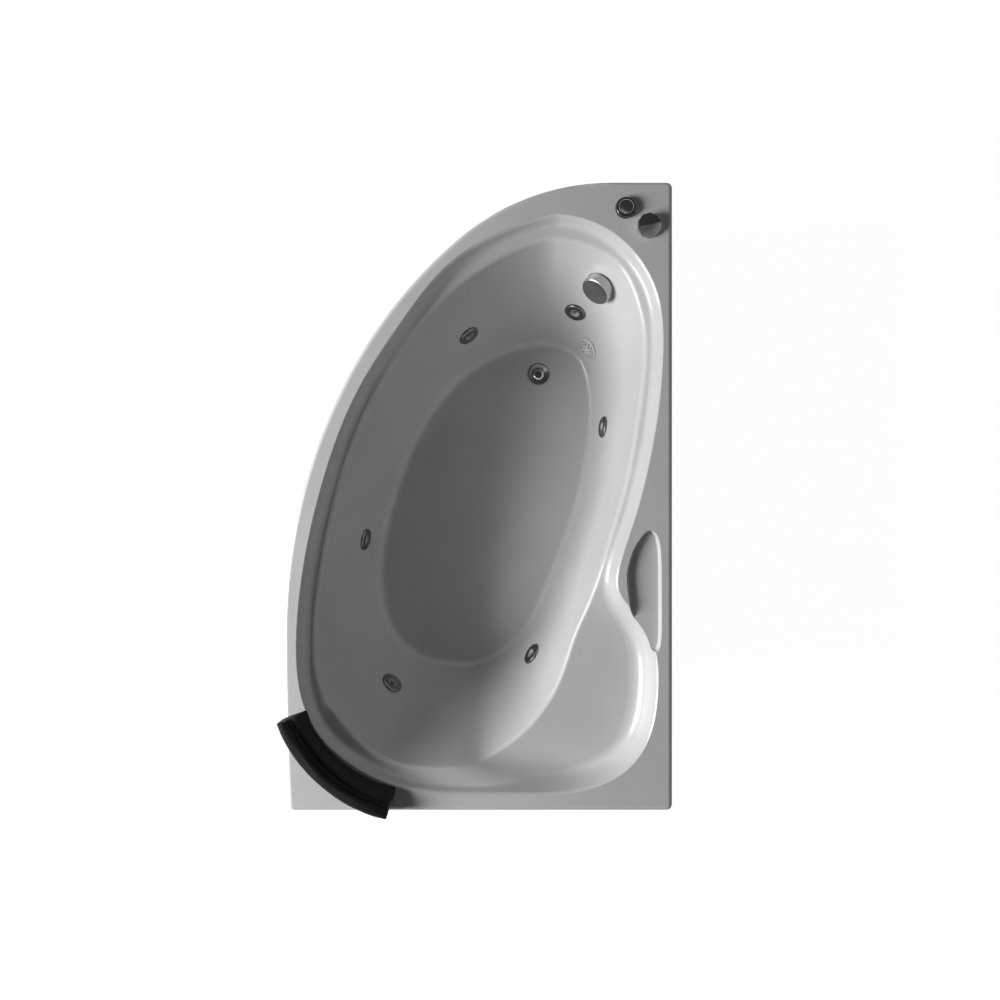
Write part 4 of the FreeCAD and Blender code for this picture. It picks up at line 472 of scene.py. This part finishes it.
# Suction fitting: a white domed cover with rows of holes, held by one screw in a threaded body
# that passes through the wall low at the foot end.
coat(white_plastic, "suction_cover", "suction_body")
coat(zinc_steel, "suction_screw")


# Waste: a satin chrome flange screwed down into the body under the floor, with a domed plug of
# polished chrome that lifts on its stem. A rubber seal runs round the plug's underside.
CHROME_PALE = (0.50, 0.51, 0.52, 1)
CHROME_DEEP = (0.40, 0.41, 0.42, 1)
POLISHED_SHEEN = (0.08, 0.2)
FLANGE_LIP = 0.003
FLANGE_ROUND = 0.0006
PLUG_REST = -0.0021
PLUG_ROUND = 0.0005


def upright_place(node, level):
    """The middle of a solid that stands upright, at that level."""
    low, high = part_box(node)
    return Matrix.Translation(((low.x + high.x) / 2, (low.y + high.y) / 2, level))


def waste_flange_outline(bottom, top, radius):
    """Threaded tail, flat lip with a rounded edge, and the funnel that the plug closes."""
    return (
        (radius * 0.73, bottom),
        (radius * 0.815, bottom),
        (radius * 0.815, 0),
        (radius, 0),
        (radius, top * 0.40),
        (radius * 0.985, top * 0.75),
        (radius * 0.95, top),
        (radius * 0.90, top * 0.95),
        (radius * 0.86, top * 0.70),
        (radius * 0.74, top * -0.05),
        (radius * 0.61, top * -0.80),
        (radius * 0.50, top * -1.45),
        (radius * 0.49, top * -1.60),
        (radius * 0.49, top * -2.45),
        (radius * 0.73, top * -2.45),
    )


def waste_plug_outline(bottom, top, radius):
    """Stem, flat underside and the dome over it."""
    stem = radius * 0.22
    height = top - PLUG_REST
    return (
        (0, bottom),
        (stem, bottom),
        (stem, PLUG_REST),
        (radius, PLUG_REST),
        (radius, PLUG_REST + height * 0.14),
        (radius * 0.975, PLUG_REST + height * 0.28),
        (radius * 0.90, PLUG_REST + height * 0.45),
        (radius * 0.76, PLUG_REST + height * 0.66),
        (radius * 0.57, PLUG_REST + height * 0.84),
        (radius * 0.36, PLUG_REST + height * 0.95),
        (radius * 0.15, top),
        (0, top),
    )


polished_chrome = chrome("polished_chrome", CHROME_DEEP, CHROME_PALE, POLISHED_SHEEN)
waste_place = upright_place("waste_flange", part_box("waste_flange")[1].z - FLANGE_LIP)
flange_outline = waste_flange_outline(*measured("waste_flange", waste_place))
flange_shape = turned(flange_outline, waste_place, FLANGE_ROUND, whole=True)
finished("waste_flange_chrome", flange_shape, satin_chrome, "tub", "waste_flange")
plug_outline = waste_plug_outline(*measured("waste_plug", waste_place))
plug_shape = turned(plug_outline, waste_place, PLUG_ROUND)
finished("waste_plug_chrome", plug_shape, polished_chrome, "waste_plug", "waste_plug")
coat(black_rubber, "plug_seal")
coat(white_plastic, "waste_body", "waste_trap")


# Overflow: a brushed chrome knob on a spindle high on the foot wall. It stands off the wall so
# that water runs in behind it, and turning it pulls a sheathed cable that lifts the plug.
BRUSHED_SHEEN = (0.30, 0.40)
KNOB_ROUND = 0.0007


def overflow_knob_outline(bottom, top, radius):
    """Hub and skirt from behind, then the plain side, its rounded edge and the flat face."""
    wall = radius * 0.08
    hub = radius * 0.14
    depth = top - bottom
    return (
        (hub, bottom),
        (hub + wall, bottom),
        (hub + wall, top - wall),
        (radius - wall, top - wall),
        (radius - wall, bottom),
        (radius, bottom),
        (radius, bottom + depth * 0.30),
        (radius * 0.985, top - depth * 0.16),
        (radius * 0.96, top - depth * 0.05),
        (radius * 0.91, top),
        (radius * 0.50, top - depth * 0.012),
        (0, top - depth * 0.015),
        (0, top - wall * 0.9),
        (hub, top - wall * 0.9),
    )


brushed_chrome = chrome("brushed_chrome", CHROME_DEEP, CHROME_PALE, BRUSHED_SHEEN)
knob_place = axis_place("overflow_knob_turn")
knob_outline = overflow_knob_outline(*measured("overflow_knob", knob_place))
knob_shape = turned(knob_outline, knob_place, KNOB_ROUND)
finished("overflow_knob_chrome", knob_shape, brushed_chrome, "overflow_knob", "overflow_knob")
coat(white_plastic, "overflow_body")
coat(black_rubber, "plug_cable")


# Air control: a threaded body through the deck with a polished chrome cap on it. The cap has
# scallops round its side and a slanted finger face on the near half; turning it lets air into
# the jets.
AIR_SCALLOPS = 10
SCALLOP_STEPS = 8
SCALLOP_DEPTH = 0.07
SCALLOP_FULLNESS = 0.6
FINGER_TURN = math.radians(13)
FINGER_SLOPE = math.radians(26)
CAP_ROUND = 0.0009
CAP_BORE = 0.29
CAP_BORE_DEPTH = 0.55


def air_cap(bottom, top, radius):
    """The scalloped cap with its bore from below, cut off by the slanted finger face."""
    shape = bmesh.new()
    count = AIR_SCALLOPS * SCALLOP_STEPS
    outer = bmesh.ops.create_circle(shape, segments=count, radius=radius)["verts"]
    for corner in outer:
        lobe = abs(math.sin(math.atan2(corner.co.y, corner.co.x) * AIR_SCALLOPS / 2))
        corner.co *= 1 - SCALLOP_DEPTH * (1 - lobe ** SCALLOP_FULLNESS)
    bore = bmesh.ops.create_circle(shape, segments=count, radius=radius * CAP_BORE)["verts"]
    rims = shape.edges[:]
    bmesh.ops.translate(shape, verts=shape.verts, vec=(0, 0, bottom))
    bmesh.ops.bridge_loops(shape, edges=rims)
    for loop, height in ((outer, top - bottom), (bore, (top - bottom) * CAP_BORE_DEPTH)):
        members = set(loop)
        edges = [edge for edge in rims if set(edge.verts) <= members]
        raised = bmesh.ops.extrude_edge_only(shape, edges=edges)["geom"]
        corners = [item for item in raised if isinstance(item, bmesh.types.BMVert)]
        bmesh.ops.translate(shape, verts=corners, vec=(0, 0, height))
        uprights = [item for item in raised if isinstance(item, bmesh.types.BMEdge)]
        lid = [edge for edge in uprights if set(edge.verts) <= set(corners)]
        bmesh.ops.edgeloop_fill(shape, edges=lid)
    finger = Matrix.Rotation(FINGER_TURN, 3, "Z") @ Matrix.Rotation(FINGER_SLOPE, 3, "X")
    halved = bmesh.ops.bisect_plane(
        shape, geom=shape.verts[:] + shape.edges[:] + shape.faces[:], plane_co=(0, 0, top),
        plane_no=finger @ Vector((0, 0, 1)), clear_outer=True,
    )
    cut_edges = [item for item in halved["geom_cut"] if isinstance(item, bmesh.types.BMEdge)]
    bmesh.ops.edgenet_fill(shape, edges=cut_edges)
    bmesh.ops.remove_doubles(shape, verts=shape.verts, dist=MERGE_GAP)
    bmesh.ops.recalc_face_normals(shape, faces=shape.faces)
    return shape


air_place = upright_place("air_control_body", RIM_LEVEL)
cap_shape = air_cap(*measured("air_control_knob", air_place))
rounded(cap_shape, CAP_ROUND)
cap_shape.transform(air_place)
finished("air_control_cap", cap_shape, polished_chrome, "air_control_knob", "air_control_knob")
coat(white_plastic, "air_control_body", "ring_nuts")


# Pump button: a dished chrome button that slides in a black chrome bezel and pushes air down a
# thin tube to the switch in the terminal box.
BLACK_CHROME_PALE = (0.095, 0.095, 0.10, 1)
BLACK_CHROME_DEEP = (0.065, 0.065, 0.07, 1)
BLACK_CHROME_SHEEN = (0.14, 0.24)
BEZEL_ROUND = 0.0008


def bezel_outline(bottom, top, radius):
    """Tail through the deck, flange with a rounded edge, and the well that the button slides in."""
    tail = radius * 0.60
    sleeve = radius * 0.73
    return (
        (tail * 0.4, bottom),
        (tail, bottom),
        (tail, 0),
        (radius, 0),
        (radius, top * 0.62),
        (radius * 0.975, top * 0.86),
        (radius * 0.91, top),
        (radius * 0.81, top * 0.985),
        (sleeve, top * 0.86),
        (sleeve, top * 0.36),
        (tail * 0.4, top * 0.36),
    )


def button_outline(bottom, top, radius):
    """Stem, flat underside, side and the dished face."""
    stem = radius * 0.26
    return (
        (0, bottom),
        (stem, bottom),
        (stem, top * 0.65),
        (radius, top * 0.65),
        (radius, top * 0.93),
        (radius * 0.94, top),
        (radius * 0.70, top * 0.95),
        (radius * 0.40, top * 0.915),
        (0, top * 0.905),
    )


black_chrome = chrome("black_chrome", BLACK_CHROME_DEEP, BLACK_CHROME_PALE, BLACK_CHROME_SHEEN)
button_place = upright_place("button_body", RIM_LEVEL)
bezel_sides = bezel_outline(*measured("button_body", button_place))
bezel_shape = turned(bezel_sides, button_place, BEZEL_ROUND, whole=True)
finished("pump_button_bezel", bezel_shape, black_chrome, "tub", "button_body")
button_sides = button_outline(*measured("pump_button", button_place))
button_shape = turned(button_sides, button_place, BEZEL_ROUND)
finished("pump_button_chrome", button_shape, polished_chrome, "pump_button", "pump_button")


# Pump: a cast motor with cooling ribs, enamelled dark blue grey, and a black moulded volute with
# its cover and impeller. The shaft is bare steel, a black terminal box sits on the motor, and all
# of it stands in a zinc tray on rubber feet.
ENAMEL_PALE = (0.075, 0.09, 0.115, 1)
ENAMEL_DEEP = (0.045, 0.055, 0.075, 1)
ENAMEL_CLOUDS = 12
ENAMEL_SMEARS = 70
ENAMEL_SHEEN = (0.32, 0.5)
CAST_GRAIN = 420
CAST_GRAIN_DEPTH = 0.0004
BLACK_PALE = (0.032, 0.032, 0.034, 1)
BLACK_DEEP = (0.018, 0.018, 0.019, 1)
BLACK_SHEEN = (0.35, 0.52)
BLACK_PITS = 0.0001


def enamel():
    """Enamel paint over the grain of the casting."""
    material, tree, shader, where = new_finish("motor_paint")
    dressed(
        tree, shader,
        colour=tones(tree, grain(tree, where, ENAMEL_CLOUDS), ENAMEL_DEEP, ENAMEL_PALE),
        sheen=between(tree, grain(tree, where, ENAMEL_SMEARS), *ENAMEL_SHEEN),
        bumps=relief(tree, grain(tree, where, CAST_GRAIN), CAST_GRAIN_DEPTH),
    )
    return material


black_plastic = moulded("black_plastic", BLACK_DEEP, BLACK_PALE, BLACK_SHEEN, BLACK_PITS)
coat(enamel(), "pump_motor_housing", "pump_stator")
coat(black_plastic, "pump_volute", "pump_volute_cover", "pump_impeller", "terminal_box")
coat(zinc_steel, "pump_shaft", "pump_bearings", "pump_tray")
coat(black_rubber, "pump_feet", "button_tube")


# Headrest: a black moulded foam pillow in two tiers, bent round the near corner of the rim and
# held by two rubber suction cups. The foam swells a little between its edges.
FOAM_PALE = (0.0048, 0.0048, 0.0052, 1)
FOAM_DEEP = (0.0026, 0.0026, 0.003, 1)
FOAM_CLOUDS = 45
FOAM_SHEEN = (0.5, 0.72)
FOAM_SPECULAR = 0.17
FOAM_PORES = 900
PORE_DETAIL = 4
PORE_DEPTH = 0.0003
FOAM_MERGE = 1e-5
FOAM_VOXEL = 0.0045
FOAM_SHRINK = 0.0025
FOAM_SPREAD = 1.055
FOAM_PRESSURE = 4
FOAM_SWELL = 0.005
FOAM_FRAMES = 20


def foam():
    """Dull black foam with fine pores in its skin."""
    material, tree, shader, where = new_finish("black_foam")
    pores = grain(tree, where, FOAM_PORES, PORE_DETAIL)
    dressed(
        tree, shader,
        colour=tones(tree, grain(tree, where, FOAM_CLOUDS), FOAM_DEEP, FOAM_PALE),
        sheen=between(tree, pores, *FOAM_SHEEN),
        bumps=relief(tree, pores, PORE_DEPTH),
    )
    shader.inputs["Specular IOR Level"].default_value = FOAM_SPECULAR
    return material


def applied(piece):
    """The piece's mesh as its modifiers leave it."""
    depsgraph = bpy.context.evaluated_depsgraph_get()
    return bpy.data.meshes.new_from_object(piece.evaluated_get(depsgraph))


def swollen(piece):
    """Lets the foam swell under light pressure, no further than FOAM_SWELL anywhere."""
    start = [corner.co.copy() for corner in piece.data.vertices]
    cloth = piece.modifiers.new("swelling", "CLOTH")
    cloth.settings.use_pressure = True
    cloth.settings.uniform_pressure_force = FOAM_PRESSURE
    cloth.settings.effector_weights.gravity = 0
    cloth.point_cache.frame_start = 1
    cloth.point_cache.frame_end = FOAM_FRAMES
    for step in range(1, FOAM_FRAMES + 1):
        bpy.context.scene.frame_set(step)
    puffed = applied(piece)
    piece.modifiers.remove(cloth)
    bpy.context.scene.frame_set(1)
    for corner, first, moved in zip(piece.data.vertices, start, puffed.vertices):
        swell = moved.co - first
        if swell.length > FOAM_SWELL:
            swell *= FOAM_SWELL / swell.length
        corner.co = first + swell


def headrest():
    """The solid pillow drawn in and spread a little, meshed evenly and swollen back out."""
    low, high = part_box("headrest_pillow")
    shape = bmesh.new()
    shape.from_mesh(nodes["headrest_pillow"].data)
    bmesh.ops.remove_doubles(shape, verts=shape.verts, dist=FOAM_MERGE)
    bmesh.ops.recalc_face_normals(shape, faces=shape.faces)
    shape.normal_update()
    middle = (low + high) / 2
    for corner in shape.verts:
        corner.co -= corner.normal * FOAM_SHRINK
        corner.co.xy = middle.xy + (corner.co.xy - middle.xy) * FOAM_SPREAD
    mesh = bpy.data.meshes.new("headrest")
    shape.to_mesh(mesh)
    shape.free()
    piece = bpy.data.objects.new("headrest", mesh)
    bpy.context.scene.collection.objects.link(piece)
    remesh = piece.modifiers.new("even_mesh", "REMESH")
    remesh.mode = "VOXEL"
    remesh.voxel_size = FOAM_VOXEL
    piece.data = applied(piece)
    piece.modifiers.remove(remesh)
    swollen(piece)
    for corner in piece.data.vertices:
        corner.co.z = min(max(corner.co.z, low.z), high.z)
    piece.data.materials.clear()
    piece.data.materials.append(foam())
    piece.data.shade_smooth()
    fine = piece.modifiers.new("fine_mesh", "SUBSURF")
    fine.levels = fine.render_levels = 1
    return piece


pillow = headrest()
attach(pillow, "tub")
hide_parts("headrest_pillow")
coat(black_rubber, "pillow_cups")


# Floor and backdrop: one pale sheet that curves up into a round wall. Seen directly or mirrored
# it is white, and it still takes the tub's shadow.
SHEET_RADIUS = 7.0
SHEET_BEND = 1.5
SHEET_BEND_STEP = 15
SHEET_HEIGHT = 9.0
SHEET_PALE = (0.50, 0.50, 0.50, 1)
SHADE_SHARE = (0.12, 0.12, 0.12, 1)
SHEET_GLOW = 0.97


def studio_sheet():
    """The flat floor, the bend and the upright wall, facing inwards."""
    outline = [(0, 0)]
    for degrees in range(0, 91, SHEET_BEND_STEP):
        turn = math.radians(degrees)
        reach = SHEET_RADIUS - SHEET_BEND + SHEET_BEND * math.sin(turn)
        outline.append((reach, SHEET_BEND * (1 - math.cos(turn))))
    outline.append((SHEET_RADIUS, SHEET_HEIGHT))
    shape = spun(outline)
    bmesh.ops.reverse_faces(shape, faces=[face for face in shape.faces if face.normal.z < 0])
    mesh = bpy.data.meshes.new("studio_sheet")
    shape.to_mesh(mesh)
    shape.free()
    mesh.shade_smooth()
    return mesh


def paper():
    """White to the camera and in mirrors, plain pale paper to every other ray of light."""
    material = bpy.data.materials.new("studio_paper")
    material.use_nodes = True
    tree = material.node_tree
    tree.nodes.remove(tree.nodes["Principled BSDF"])
    rays = tree.nodes.new("ShaderNodeLightPath").outputs
    mirrored = combined(tree, "MAXIMUM", rays["Is Glossy Ray"], rays["Is Transmission Ray"])
    seen = combined(tree, "MAXIMUM", rays["Is Camera Ray"], mirrored)
    lit = tree.nodes.new("ShaderNodeBsdfDiffuse")
    lit.inputs["Color"].default_value = SHEET_PALE
    shade = tree.nodes.new("ShaderNodeBsdfDiffuse")
    shade.inputs["Color"].default_value = SHADE_SHARE
    glow = tree.nodes.new("ShaderNodeEmission")
    glow.inputs["Strength"].default_value = SHEET_GLOW
    white = tree.nodes.new("ShaderNodeAddShader")
    tree.links.new(shade.outputs["BSDF"], white.inputs[0])
    tree.links.new(glow.outputs["Emission"], white.inputs[1])
    choice = tree.nodes.new("ShaderNodeMixShader")
    tree.links.new(seen, choice.inputs["Fac"])
    tree.links.new(lit.outputs["BSDF"], choice.inputs[1])
    tree.links.new(white.outputs["Shader"], choice.inputs[2])
    tree.links.new(choice.outputs["Shader"], tree.nodes["Material Output"].inputs["Surface"])
    return material


sheet_mesh = studio_sheet()
sheet_mesh.materials.append(paper())
sheet = bpy.data.objects.new("studio_sheet", sheet_mesh)
bpy.context.scene.collection.objects.link(sheet)


# Light: one large soft lamp, low on the left and a little towards the near end, and an even grey
# ceiling that fills the shadows.
KEY_SPOT = Vector((-4.05, -0.68, 2.55))
KEY_AIM = Vector((0, 0, 0.5))
KEY_SIDE = 2.1
KEY_POWER = 288
FILL_GREY = (0.055, 0.055, 0.055, 1)

lamp = bpy.data.lights.new("key_lamp", "AREA")
lamp.shape = "SQUARE"
lamp.size = KEY_SIDE
lamp.energy = KEY_POWER
key = bpy.data.objects.new("key_lamp", lamp)
key.location = KEY_SPOT
key.rotation_euler = (KEY_AIM - KEY_SPOT).to_track_quat("-Z", "Y").to_euler()
key.visible_camera = False
bpy.context.scene.collection.objects.link(key)
world = bpy.data.worlds.new("studio")
world.use_nodes = True
world.node_tree.nodes["Background"].inputs["Color"].default_value = FILL_GREY
bpy.context.scene.world = world


# Camera: straight above the tub, as the photograph was taken, with the long wall side to the
# right. The frame is PHOTO_WIDTH metres wide at the height of the rim.
PHOTO_WIDTH = 2.5395
CAMERA_SPOT = Vector((0.056, -0.0096, 2.8))

lens = bpy.data.cameras.new("photo_camera")
lens.lens = lens.sensor_width * (CAMERA_SPOT.z - RIM_LEVEL) / PHOTO_WIDTH
camera = bpy.data.objects.new("photo_camera", lens)
camera.location = CAMERA_SPOT
bpy.context.scene.collection.objects.link(camera)
bpy.context.scene.camera = camera
bpy.context.scene.view_settings.view_transform = "Standard"
